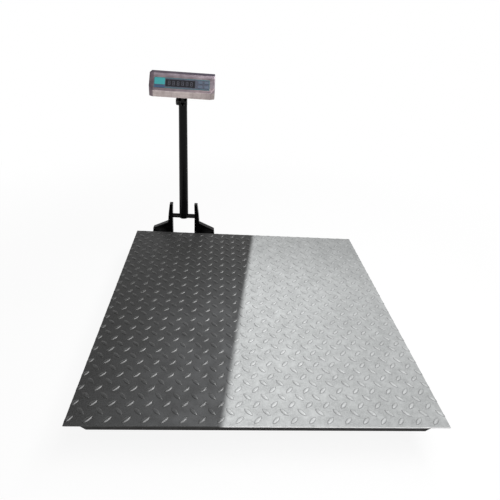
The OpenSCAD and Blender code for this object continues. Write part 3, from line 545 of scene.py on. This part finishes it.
def film_patch(look, centre, size, radius, base):
    """Rounded film on the sloped front: its outline at the top and at the foot, with lids."""
    x, y = rounded_outline(*size, radius)
    count = len(x)
    across = np.tile(x + centre[0], 2)
    up = np.tile(y + centre[1], 2)
    out = np.repeat([base + look.film, base], count)
    lids = [list(range(count)), list(range(2 * count - 1, count - 1, -1))]
    return slope_place(look, across, up, out), ring_faces(2, count) + lids


def film_frame(look, centre, size, radius, width, base):
    """Narrow rounded frame on the sloped front: outer and inner outline, at the top and at the foot."""
    outer = rounded_outline(*size, radius)
    inner = rounded_outline(size[0] - 2 * width, size[1] - 2 * width, radius - width)
    count = len(outer[0])
    rings = np.concatenate([inner, outer, outer, inner, inner], axis=1)
    out = np.repeat([base + look.film, base + look.film, base, base, base + look.film], count)
    faces = np.array(ring_faces(5, count))
    faces = np.where(faces >= 4 * count, faces - 4 * count, faces)
    points = slope_place(look, rings[0] + centre[0], rings[1] + centre[1], out)
    return points[: 4 * count], faces.tolist()


def digit_segments(look, centre, base, count=6, straight=0.8, shorter=0.92, slimmer=0.9):
    """Seven-segment digits: each segment is a thin six-sided bar with pointed ends, a little shorter and
    slimmer than its place, on the digit's three rows and two columns, repeated per digit."""
    half = look.stroke / 2
    row = look.digit_height / 2 - half
    column = look.digit_width / 2 - half
    run = np.array([-1, -straight, straight, 1, straight, -straight]) * shorter
    side = np.array([0, -1, -1, 0, 1, 1]) * half * slimmer
    level = np.stack([run * column, side], axis=-1)
    upright = np.stack([-side, run * row / 2], axis=-1)
    rows = np.array([[0, row], [0, 0], [0, -row]])
    columns = np.array([[-column, -row / 2], [-column, row / 2], [column, -row / 2], [column, row / 2]])
    bars = np.concatenate([rows[:, None] + level, columns[:, None] + upright])
    shift = (np.arange(count) - (count - 1) / 2) * look.digit_pitch
    across = (bars[None, ..., 0] + shift[:, None, None] + centre[0]).reshape(-1, 6)
    up = np.tile(bars[..., 1] + centre[1], (count, 1))
    out = np.repeat([base + look.film, base], 6)[None, :]
    points = slope_place(look, np.tile(across, 2), np.tile(up, 2), out).reshape(-1, 3)
    offsets = np.arange(len(across))[:, None, None] * 12
    walls = (offsets + np.array(ring_faces(2, 6))).reshape(-1, 4).tolist()
    lids = (offsets + np.array([[0, 1, 2, 3, 4, 5], [11, 10, 9, 8, 7, 6]])).reshape(-1, 6).tolist()
    return points, walls + lids


def opened_grid(breaks_x, breaks_v, openings):
    """Cells of a rectangular grid of breaks, without the cells whose middle lies in an opening."""
    middle_x = (breaks_x[1:] + breaks_x[:-1]) / 2
    middle_v = (breaks_v[1:] + breaks_v[:-1]) / 2
    x, v = np.meshgrid(middle_x, middle_v, indexing="ij")
    kept = np.ones(x.shape, bool)
    for left, right, bottom, top in openings:
        kept &= ~((x > left) & (x < right) & (v > bottom) & (v < top))
    i, j = np.nonzero(kept)
    columns = len(breaks_v)
    corner = i * columns + j
    return np.stack([corner, corner + columns, corner + columns + 1, corner + 1], axis=-1)


def front_openings(look):
    """Openings of the sloped front as left, right, bottom and top: the window and the four keys."""
    middle = look.overlay_up + look.overlay_height / 2
    gap = OPENING_GAP
    places = [(-look.window_left, middle, look.window_width, look.window_height)]
    for i in range(2):
        for j in range(2):
            x = look.key_x + i * look.key_pitch_x
            v = middle + (j - 0.5) * look.key_pitch_v
            places.append((x, v, look.key_width, look.key_height))
    return [(x - w / 2 - gap, x + w / 2 + gap, v - h / 2 - gap, v + h / 2 + gap) for x, v, w, h in places]


def housing_sheet(look):
    """Folded sheet of the housing: lip, sloped front with its openings, cut corners, sides and top. The
    front is a grid of breaks at the openings, joined to the fold lines by four flat borders."""
    low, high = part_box("housing_shell")
    middle = (low.x + high.x) / 2
    cut = look.corner_cut
    rise = (high.z - low.z - look.lip_height) / look.slope_run
    lip = low.z + look.lip_height
    right = np.array([
        [high.x - cut, low.y, low.z],
        [high.x - cut, low.y, lip],
        [high.x, low.y + cut, low.z],
        [high.x, low.y + cut, lip + cut * rise],
        [high.x, low.y + look.slope_run, high.z],
        [high.x, high.y, high.z],
        [high.x, high.y, low.z],
    ])
    left = right * [-1, 1, 1] + [2 * middle, 0, 0]
    openings = front_openings(look)
    breaks_x = np.unique(np.round([edge for o in openings for edge in o[:2]], 6))
    breaks_v = np.unique(np.round([edge for o in openings for edge in o[2:]], 6))
    x, v = np.meshgrid(breaks_x, breaks_v, indexing="ij")
    outline = np.vstack([right, left])
    points = np.vstack([outline, slope_place(look, x, v, 0.0).reshape(-1, 3)])
    cells = opened_grid(breaks_x, breaks_v, openings) + len(outline)
    index = np.arange(x.size).reshape(x.shape) + len(outline)
    borders = [
        [8, 1] + index[::-1, 0].tolist(),
        [1, 3, 4] + index[-1, ::-1].tolist(),
        [4, 11] + index[:, -1].tolist(),
        [11, 10, 8] + index[0, :].tolist(),
    ]
    folds = [
        [7, 0, 1, 8],
        [0, 2, 3, 1],
        [7, 8, 10, 9],
        [2, 6, 5, 4, 3],
        [9, 10, 11, 12, 13],
        [11, 4, 5, 12],
    ]
    return points, cells.tolist() + borders + folds


# Materials of this object

def painted_shade_colour(look, tree, across, back):
    """Painted shade over the plate's left part, with a painted glow that makes it paler next to its edge at
    the front, and with dark clouds and pale specks.
    """
    # painted glow next to the shade's edge, strongest at the front
    near = ramp_of(tree, across, -PALER_REACH, 0.0)
    front = ramp_of(tree, back, PALER_START, PALER_FULL)
    clouds = grain(tree, 0.05, 0.0, 0.5)
    specks = grain(tree, 0.003, 0.0, 0.4)
    shaded_plate = blend_of(tree, math_of(tree, "MULTIPLY", near, front), look.dark, look.shade_glow_near_edge)
    shaded_plate = blend_of(tree, clouds, shaded_plate, tint(look.dark, 0.7))
    return blend_of(tree, specks, shaded_plate, tint(look.shade_glow_near_edge, 1.2))


def bare_steel(look, tree, across, back):
    """Bare rolled steel with a broad drift, dark clouds and pale specks, and painted shade that darkens it
    to the right and back.
    """
    drift = grain(tree, 0.06)
    clouds = grain(tree, 0.016, 0.0, 0.7)
    specks = grain(tree, 0.004, 0.0, 0.65)
    bare = blend_of(tree, drift, tint(look.silver, 0.86), tint(look.silver, 1.14))
    bare = blend_of(tree, clouds, bare, tint(look.silver, 0.6))
    bare = blend_of(tree, specks, bare, tint(look.silver, 1.3))
    # painted shade: the silver grows darker to the right and to the back
    rightward = ramp_of(tree, across, 0.0, SHADE_REACH_RIGHT)
    bare = blend_of(tree, rightward, bare, PAINTED_SHADE_RIGHT, "MULTIPLY")
    backward = ramp_of(tree, back, 0.0, SHADE_REACH_BACK)
    return blend_of(tree, backward, bare, PAINTED_SHADE_BACK, "MULTIPLY")


def worn_and_shaded_lugs(look, tree, height, shaded_plate, bare):
    """The shaded and the bare plate on the lugs, with the crown rubbed bright and painted shade in the
    crease at the foot.
    """
    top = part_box("deck_plate")[1].z
    crown = ramp_of(tree, height, top - 0.4 * look.lug_height, top)
    rubbed = math_of(tree, "MULTIPLY", crown, grain(tree, 0.012, 0.0, 0.06))
    shaded_plate = blend_of(tree, rubbed, shaded_plate, tint(look.silver, 0.4))
    # painted shade: a dark ring in the crease round each lug's foot
    foot = ramp_of(tree, height, top - 0.3 * look.lug_height, top - look.lug_height, 0.0, 0.9)
    shaded_plate = blend_of(tree, foot, shaded_plate, tint(look.dark, 0.4))
    return shaded_plate, blend_of(tree, foot, bare, tint(look.silver, 0.22))


def edge_light_and_shade(look, tree, shaded_plate, bare):
    """The shaded and the bare plate on the sheet: painted shade on the side-facing edges of the shaded part,
    and a painted highlight on the rolled edges of the silver.
    """
    facing = axes_of(tree, "Normal")
    # painted highlight on the rolled edges, and painted shade on the side-facing edges
    rolled = ramp_of(tree, facing["Z"], 0.95, 0.5, 0.0, 0.9)
    edge_shade = ramp_of(tree, facing["Z"], 0.3, 0.1, 0.0, 0.8)
    shaded_plate = blend_of(tree, edge_shade, shaded_plate, tint(look.dark, 0.2))
    return shaded_plate, blend_of(tree, rolled, bare, shade(*EDGE_HIGHLIGHT))


def chequer_steel(look, name, on_lugs):
    """Rolled chequer plate of bare silver, with painted shade making it dark left of a soft slanted line,
    which is a painted shadow edge. The lugs are smoother than the sheet between them."""
    specular, least, most, added, depth = LUG_FINISH if on_lugs else SHEET_FINISH
    material, tree, shader = new_material(name, Specular_IOR_Level=specular)
    place = axes_of(tree, "Object")
    back = place["Y"]
    # edge of the painted shade: a soft slanted line across the plate
    edge = math_of(tree, "ADD", math_of(tree, "MULTIPLY", back, look.tone_slant), look.tone_edge)
    across = math_of(tree, "SUBTRACT", place["X"], edge)
    shaded_plate = painted_shade_colour(look, tree, across, back)
    bare = bare_steel(look, tree, across, back)
    if on_lugs:
        shaded_plate, bare = worn_and_shaded_lugs(look, tree, place["Z"], shaded_plate, bare)
    else:
        shaded_plate, bare = edge_light_and_shade(look, tree, shaded_plate, bare)
    # share of the plate outside the painted shade
    unshaded_side = ramp_of(tree, across, -look.tone_soft / 2, look.tone_soft / 2)
    fill(tree, shader.inputs["Base Color"], blend_of(tree, unshaded_side, shaded_plate, bare))
    fill(tree, shader.inputs["Metallic"], math_of(tree, "MULTIPLY", unshaded_side, 0.1))
    duller = math_of(tree, "MULTIPLY", unshaded_side, added)
    fill(tree, shader.inputs["Roughness"], math_of(tree, "ADD", grain(tree, 0.02, least, most), duller))
    relief(tree, shader, grain(tree, 0.0025), depth)
    return material


def satin_paint(name, base):
    """Satin paint over steel, with a slight drift and dust on upward faces."""
    return grained_material(name, base, 0.03, 0.12, 0.5, bump=0.06, dusty=0.25, Specular_IOR_Level=0.2)


def gloss_enamel(look):
    """Black gloss enamel with a faint orange peel."""
    return grained_material(
        "gloss_enamel", look.enamel, 0.02, 0.25, 0.22, bump=0.05, dusty=0.02, Specular_IOR_Level=0.11
    )


def plating(look):
    """Zinc plating with a cloudy bloom."""
    return grained_material("zinc_plating", look.zinc, 0.008, 0.15, 0.35, bump=0.05, Metallic=0.9)


def machined_alloy(look):
    """Machined aluminium with fine marks along the cell."""
    return grained_material(
        "machined_alloy", look.alloy, 0.002, 0.08, 0.32, stretch=(1, 0.06, 1), bump=0.08, Metallic=0.9
    )


def streaks(tree, size, low=0.0, high=1.0):
    """Brush marks: grain drawn out level round the upright faces, and sideways on the flat ones."""
    upright = grain(tree, size, low, high, (0.02, 0.02, 1))
    flat = grain(tree, size, low, high, (0.02, 1, 1))
    facing = axes_of(tree, "Normal")
    is_flat = ramp_of(tree, math_of(tree, "ABSOLUTE", facing["Z"]), 0.85, 0.95)
    change = math_of(tree, "MULTIPLY", is_flat, math_of(tree, "SUBTRACT", flat, upright))
    return math_of(tree, "ADD", upright, change)


def filmed_colour(look, tree, body):
    """Wrinkled film over the sheet, tinted above the upright lip and clouded on the slope, with painted
    light on it: a painted highlight along the slope's top, painted dark reflections at the left end and over
    the top face, which turn blue towards the right, and painted shade in the wrinkles."""
    low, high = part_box("housing_shell")
    place = axes_of(tree, "Object")
    facing = axes_of(tree, "Normal")
    lip = low.z + look.lip_height
    above = ramp_of(tree, place["Z"], lip - look.bend, lip + look.bend, 0.0, look.film_share)
    film = blend_of(tree, grain(tree, 0.02, stretch=(0.3, 1, 1)), look.film_low, look.film_high)
    body = blend_of(tree, above, body, film)
    # painted highlight: a pale band along the slope's top
    highlight_strip = ramp_of(tree, place["Z"], high.z - 4 * look.bend, high.z - 2 * look.bend)
    body = blend_of(tree, highlight_strip, body, look.slope_top_highlight)
    # painted reflection: the left end darkened
    end = low.x + look.corner_cut
    left = ramp_of(tree, place["X"], end + look.bend, end, 0.0, 0.7)
    body = blend_of(tree, left, body, look.dark_reflection_tint)
    # painted reflection: the top face darkened, turning blue towards the right
    rightward = ramp_of(tree, place["X"], low.x, high.x)
    top = ramp_of(tree, facing["Z"], 0.7, 0.95, 0.0, 0.75)
    body = blend_of(tree, top, body, blend_of(tree, rightward, look.dark_reflection_tint, look.blue_reflection_tint))
    # painted shade: a mottle in the film's wrinkles that stands in for its uneven reflections
    wrinkles = grain(tree, 0.03, stretch=(1, 1, 0.5))
    return blend_of(tree, wrinkles, body, WRINKLE_PAINTED_SHADE, "MULTIPLY")


def brushed_steel(look, name, filmed):
    """Brushed stainless sheet, bare or under a tinted film."""
    material, tree, shader = new_material(name, Metallic=0.85, Specular_Tint=shade(*STEEL_RIM))
    body = blend_of(tree, streaks(tree, 0.0016), tint(look.steel, 0.9), tint(look.steel, 1.1))
    if filmed:
        body = filmed_colour(look, tree, body)
    fill(tree, shader.inputs["Base Color"], body)
    fill(tree, shader.inputs["Roughness"], streaks(tree, 0.001, 0.28, 0.44))
    relief(tree, shader, streaks(tree, 0.0004), 0.08)
    return material


def moulded(name, base, rough, bump=0.12, **constants):
    """Moulded plastic with a fine spark-eroded texture."""
    return grained_material(name, base, 0.0012, 0.1, rough, bump=bump, **constants)


def dress_plastics(*names):
    """Give each moulded node its own plastic."""
    for name in names:
        label, screen, rough = PLASTICS[name]
        dress([name], moulded(label, shade(*screen), rough))


def rubber(look):
    """Rubber sheath with a dull bloom."""
    return grained_material("lead_rubber", look.rubber, 0.004, 0.3, 0.65, bump=0.1)


def laminate():
    """Green circuit laminate with straight copper tracks under the lacquer."""
    material, tree, shader = new_material("laminate", Roughness=0.35)
    place = put(tree, "TexCoord").outputs["Object"]
    tracks = put(tree, "TexBrick", {"offset": 0.37}, Vector=place, Scale=160.0, Mortar_Size=0.06)
    for name, screen in (("Color1", BOARD_GREEN), ("Color2", BOARD_PALE), ("Mortar", TRACK_GREEN)):
        fill(tree, tracks.inputs[name], shade(*screen))
    fill(tree, shader.inputs["Base Color"], tracks.outputs["Color"])
    relief(tree, shader, tracks.outputs["Fac"], 0.1, 0.0002)
    return material


def core_iron():
    """Stacked transformer plates seen from the side, under wound tape."""
    material, tree, shader = new_material("core_iron", Roughness=0.5, Metallic=0.6)
    place = put(tree, "TexCoord").outputs["Object"]
    plates = put(tree, "TexWave", {"bands_direction": "X"}, Vector=place, Scale=300.0, Distortion=0.3)
    body = blend_of(tree, plates.outputs["Fac"], shade(*CORE_DARK), shade(*CORE_PALE))
    fill(tree, shader.inputs["Base Color"], body)
    relief(tree, shader, plates.outputs["Fac"], 0.2, 0.0003)
    return material


# Operators

class PieceOperator:
    """What the operators share: they can be undone."""

    bl_options = {"REGISTER", "UNDO"}


class SCALE_OT_deck(PieceOperator, bpy.types.Operator):
    """Build the chequer plate: rolled sheet and domed tread lugs"""

    bl_idname = "platform_scale.deck"
    bl_label = "Deck plate"

    def execute(self, context):
        look = context.scene.scale_deck
        low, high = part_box("deck_plate")
        steel = chequer_steel(look, "chequer_sheet", False)
        top = Vector((high.x, high.y, high.z - look.lug_height))
        sheet = rolled_plate(low, top, look.rolled_edge)
        plate = new_piece("deck_sheet", *sheet, steel, "deck", "deck_steel", False)
        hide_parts("deck_plate")
        rubbed = chequer_steel(look, "chequer_lugs", True)
        new_piece("tread_lugs", *tread_lugs(look, low, high), rubbed, "deck", "deck_steel")
        return {"FINISHED"}


class SCALE_OT_underframe(PieceOperator, bpy.types.Operator):
    """Finish the skirt, the base rails, the load cells, the feet and the junction box"""

    bl_idname = "platform_scale.underframe"
    bl_label = "Underframe"

    def execute(self, context):
        look = context.scene.scale_frame
        skirt = ["deck_skirt_" + side for side in ("front", "rear", "left", "right")]
        dress(skirt + ["deck_ribs", "load_pads"], satin_paint("skirt_paint", look.skirt))
        rails = ["base_rail_" + side for side in ("front", "rear", "left", "right")]
        dress(rails + ["base_cross_rail", "foot_bosses"], satin_paint("base_paint", look.base))
        feet = [f"foot_{end}_{side}" for end in ("front", "rear") for side in ("left", "right")]
        plated = ["load_buttons", "load_cell_spacers", "load_cell_bolts", "lock_nuts", "junction_screws"]
        dress(feet + plated, plating(look))
        dress(["load_cells", "junction_box", "junction_lid"], machined_alloy(look))
        dress(["load_cell_leads"], rubber(look))
        dress_plastics("junction_glands")
        dress(["junction_board"], laminate())
        return {"FINISHED"}


class SCALE_OT_pillar(PieceOperator, bpy.types.Operator):
    """Finish the pillar, its legs, arms and swivel head"""

    bl_idname = "platform_scale.pillar"
    bl_label = "Pillar"

    def execute(self, context):
        look = context.scene.scale_frame
        arms = ["pillar_arm_left", "pillar_arm_right", "pillar_leg_left", "pillar_leg_right"]
        head = ["pillar_crossbar", "pillar_tube", "swivel_head", "tilt_bracket"]
        dress(arms + head, gloss_enamel(look))
        zinc = bpy.data.materials["zinc_plating"]
        dress(["leg_bolts", "swivel_screw", "tilt_bolt", "bracket_screws"], zinc)
        dress_plastics("tilt_knob")
        return {"FINISHED"}


class SCALE_OT_housing(PieceOperator, bpy.types.Operator):
    """Build the folded housing sheet and finish the floor, the rear cover and its fittings"""

    bl_idname = "platform_scale.housing"
    bl_label = "Indicator housing"

    def execute(self, context):
        look = context.scene.scale_indicator
        steel = brushed_steel(look, "housing_steel", True)
        sheet = new_piece("housing_sheet", *housing_sheet(look), steel, "indicator", "stainless", False)
        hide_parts("housing_shell")
        fold = sheet.modifiers.new("folds", "BEVEL")
        fold.width = look.bend
        fold.segments = 4
        fold.limit_method = "ANGLE"
        wall = sheet.modifiers.new("wall", "SOLIDIFY")
        wall.thickness = look.sheet
        wall.offset = -1
        dress(["housing_floor", "rear_cover"], brushed_steel(look, "cover_steel", False))
        dress(["cover_screws"], bpy.data.materials["zinc_plating"])
        dress_plastics("switch_frame", "power_rocker", "rear_sockets")
        return {"FINISHED"}


class SCALE_OT_front_panel(PieceOperator, bpy.types.Operator):
    """Build the overlay's plain panels and the digits, and finish the window and the keys"""

    bl_idname = "platform_scale.front_panel"
    bl_label = "Front panel"

    def execute(self, context):
        look = context.scene.scale_indicator
        face = look.overlay_thick
        middle = look.overlay_up + look.overlay_height / 2
        film = dict(rough=0.3, Coat_Weight=0.4, Coat_Roughness=0.1)
        panel_film = moulded("panel_film", look.panel, **film)
        dress(["front_overlay"], moulded("overlay_film", look.overlay, **film))
        dress(["display_window"], moulded("window_acrylic", look.window, 0.12, bump=0.01))
        left = look.window_left + look.window_width / 2
        panel_width = look.overlay_width / 2 - left - PANEL_MARGIN
        panel_x = -(look.overlay_width / 2 + left) / 2
        band_film = moulded("band_film", look.band, **film)
        patches = (
            ("teal_panel", PANEL_UP, PANEL_HEIGHT, panel_film),
            ("slate_band", (BAND_HEIGHT - look.overlay_height) / 2, BAND_HEIGHT, band_film),
        )
        for name, up, height, finish in patches:
            patch = film_patch(look, (panel_x, middle + up), (panel_width, height), FILM_CORNER, face)
            new_piece(name, *patch, finish, "indicator", "overlay_film", False)
        border_size = (look.overlay_width - 2 * BORDER_IN, look.overlay_height - 2 * BORDER_IN)
        border = film_frame(look, (0, middle), border_size, BORDER_CORNER, BORDER_WIDTH, face)
        new_piece("overlay_border", *border, panel_film, "indicator", "overlay_film", False)
        digits = digit_segments(look, (-look.window_left, middle), face)
        unlit = moulded("segment_film", look.segment, 0.3)
        new_piece("digit_segments", *digits, unlit, "indicator", "digit_plastic", False)
        keys = ["key_" + name for name in ("zero", "tare", "mode", "enter")]
        dress(keys, moulded("key_rubber", look.key, 0.5))
        return {"FINISHED"}


class SCALE_OT_inside(PieceOperator, bpy.types.Operator):
    """Finish the boards, the battery and the transformer inside the indicator"""

    bl_idname = "platform_scale.inside"
    bl_label = "Inside of the indicator"

    def execute(self, context):
        dress(["display_board", "main_board"], bpy.data.materials["laminate"])
        dress_plastics("display_digits", "key_switches", "battery")
        dress(["transformer"], core_iron())
        return {"FINISHED"}


class SCALE_OT_stage(PieceOperator, bpy.types.Operator):
    """Lay the floor, hang the lamps and set the camera"""

    bl_idname = "platform_scale.stage"
    bl_label = "Stage"

    def execute(self, context):
        look = context.scene.scale_stage
        context.scene.view_settings.view_transform = "Standard"
        lay_floor(look)
        set_world(context.scene, look)
        hang_lamp("key_lamp", *KEY_LAMP, look.key_power)
        hang_lamp("top_lamp", *TOP_LAMP, look.top_power)
        hang_lamp("front_lamp", *FRONT_LAMP, look.front_power)
        set_camera(context.scene, look)
        return {"FINISHED"}


def pale_factor(tree):
    """1 for rays that come from the camera, a mirror or glass, else 0."""
    rays = put(tree, "LightPath")
    seen = math_of(tree, "MAXIMUM", rays.outputs["Is Camera Ray"], rays.outputs["Is Glossy Ray"])
    return math_of(tree, "MAXIMUM", seen, rays.outputs["Is Transmission Ray"])


def lay_floor(look):
    """Square floor whose far part fades into the white background for rays from the camera."""
    half = look.floor_size / 2
    corners = np.array([[-half, -half, 0], [half, -half, 0], [half, half, 0], [-half, half, 0]])
    mesh = bpy.data.meshes.new("floor")
    mesh.from_pydata(corners.tolist(), [], [[0, 1, 2, 3]])
    floor = add_object("floor", mesh)
    material = bpy.data.materials.new("floor_paper")
    material.use_nodes = True
    tree = material.node_tree
    tree.nodes.clear()
    paper = put(tree, "BsdfDiffuse", Color=look.floor)
    white = put(tree, "Emission", Color=(1, 1, 1, 1), Strength=1.0)
    reach = put(tree, "VectorMath", {"operation": "LENGTH"})
    fill(tree, reach.inputs[0], put(tree, "TexCoord").outputs["Object"])
    fade = ramp_of(tree, reach.outputs["Value"], FLOOR_NEAR, FLOOR_FAR, FLOOR_WHITE, 1.0)
    mixed = put(tree, "MixShader", Fac=math_of(tree, "MULTIPLY", fade, pale_factor(tree)))
    fill(tree, mixed.inputs[1], paper.outputs[0])
    fill(tree, mixed.inputs[2], white.outputs[0])
    fill(tree, put(tree, "OutputMaterial").inputs["Surface"], mixed.outputs[0])
    mesh.materials.append(material)


def set_world(scene, look):
    """Even ambient light, and a white background that dims overhead as a ceiling does."""
    world = bpy.data.worlds.new("studio")
    scene.world = world
    world.use_nodes = True
    tree = world.node_tree
    tree.nodes.clear()
    ambient = put(tree, "Background", Color=(1, 1, 1, 1), Strength=look.ambient)
    height = axes_of(tree, "Generated")
    ceiling = ramp_of(tree, height["Z"], 0.1, 0.85, 1.0, CEILING)
    backdrop = put(tree, "Background", Color=(1, 1, 1, 1), Strength=ceiling)
    mixed = put(tree, "MixShader", Fac=pale_factor(tree))
    fill(tree, mixed.inputs[1], ambient.outputs[0])
    fill(tree, mixed.inputs[2], backdrop.outputs[0])
    fill(tree, put(tree, "OutputWorld").inputs["Surface"], mixed.outputs[0])


def hang_lamp(name, place, target, size, power):
    """A rectangular lamp, given by its width and height, that looks at a point."""
    lamp = bpy.data.lights.new(name, "AREA")
    lamp.shape = "RECTANGLE"
    lamp.energy = power
    lamp.size, lamp.size_y = size
    holder = add_object(name, lamp)
    aim = Vector(target) - Vector(place)
    holder.matrix_world = Matrix.Translation(place) @ aim.to_track_quat("-Z", "Y").to_matrix().to_4x4()


def set_camera(scene, look):
    """Camera from its eye point and its yaw, pitch and roll."""
    lens = bpy.data.cameras.new("camera")
    lens.lens = look.lens
    lens.sensor_width = 36
    lens.shift_x = look.shift
    lens.clip_end = 200
    camera = add_object("camera", lens)
    aside = Matrix.Rotation(-look.yaw, 4, "Z")
    down = Matrix.Rotation(math.pi / 2 - look.pitch, 4, "X")
    lean = Matrix.Rotation(look.roll, 4, "Z")
    camera.matrix_world = Matrix.Translation(look.eye) @ aside @ down @ lean
    scene.camera = camera


class SCALE_PT_panel(bpy.types.Panel):
    """Sidebar panel with the looks and the operators"""

    bl_label = "Platform Scale"
    bl_idname = "SCALE_PT_panel"
    bl_space_type = "VIEW_3D"
    bl_region_type = "UI"
    bl_category = "Platform Scale"

    def draw(self, context):
        for operator in OPERATORS:
            self.layout.operator(operator.bl_idname)
        for name in LOOKS:
            box = self.layout.box()
            look = getattr(context.scene, name)
            for prop in look.bl_rna.properties:
                if prop.identifier not in ("rna_type", "name"):
                    box.prop(look, prop.identifier)


LOOKS = {
    "scale_deck": DeckLook,
    "scale_frame": FrameLook,
    "scale_indicator": IndicatorLook,
    "scale_stage": StageLook,
}
OPERATORS = (
    SCALE_OT_deck,
    SCALE_OT_underframe,
    SCALE_OT_pillar,
    SCALE_OT_housing,
    SCALE_OT_front_panel,
    SCALE_OT_inside,
    SCALE_OT_stage,
)


def register():
    for name, look in LOOKS.items():
        bpy.utils.register_class(look)
        setattr(bpy.types.Scene, name, bpy.props.PointerProperty(type=look))
    for operator in OPERATORS:
        bpy.utils.register_class(operator)
    bpy.utils.register_class(SCALE_PT_panel)


def unregister():
    bpy.utils.unregister_class(SCALE_PT_panel)
    for operator in reversed(OPERATORS):
        bpy.utils.unregister_class(operator)
    for name, look in LOOKS.items():
        delattr(bpy.types.Scene, name)
        bpy.utils.unregister_class(look)


def main():
    """Build everything in order."""
    register()
    bpy.ops.platform_scale.deck()
    bpy.ops.platform_scale.underframe()
    bpy.ops.platform_scale.pillar()
    bpy.ops.platform_scale.housing()
    bpy.ops.platform_scale.front_panel()
    bpy.ops.platform_scale.inside()
    bpy.ops.platform_scale.stage()


if __name__ == "__main__":
    main()
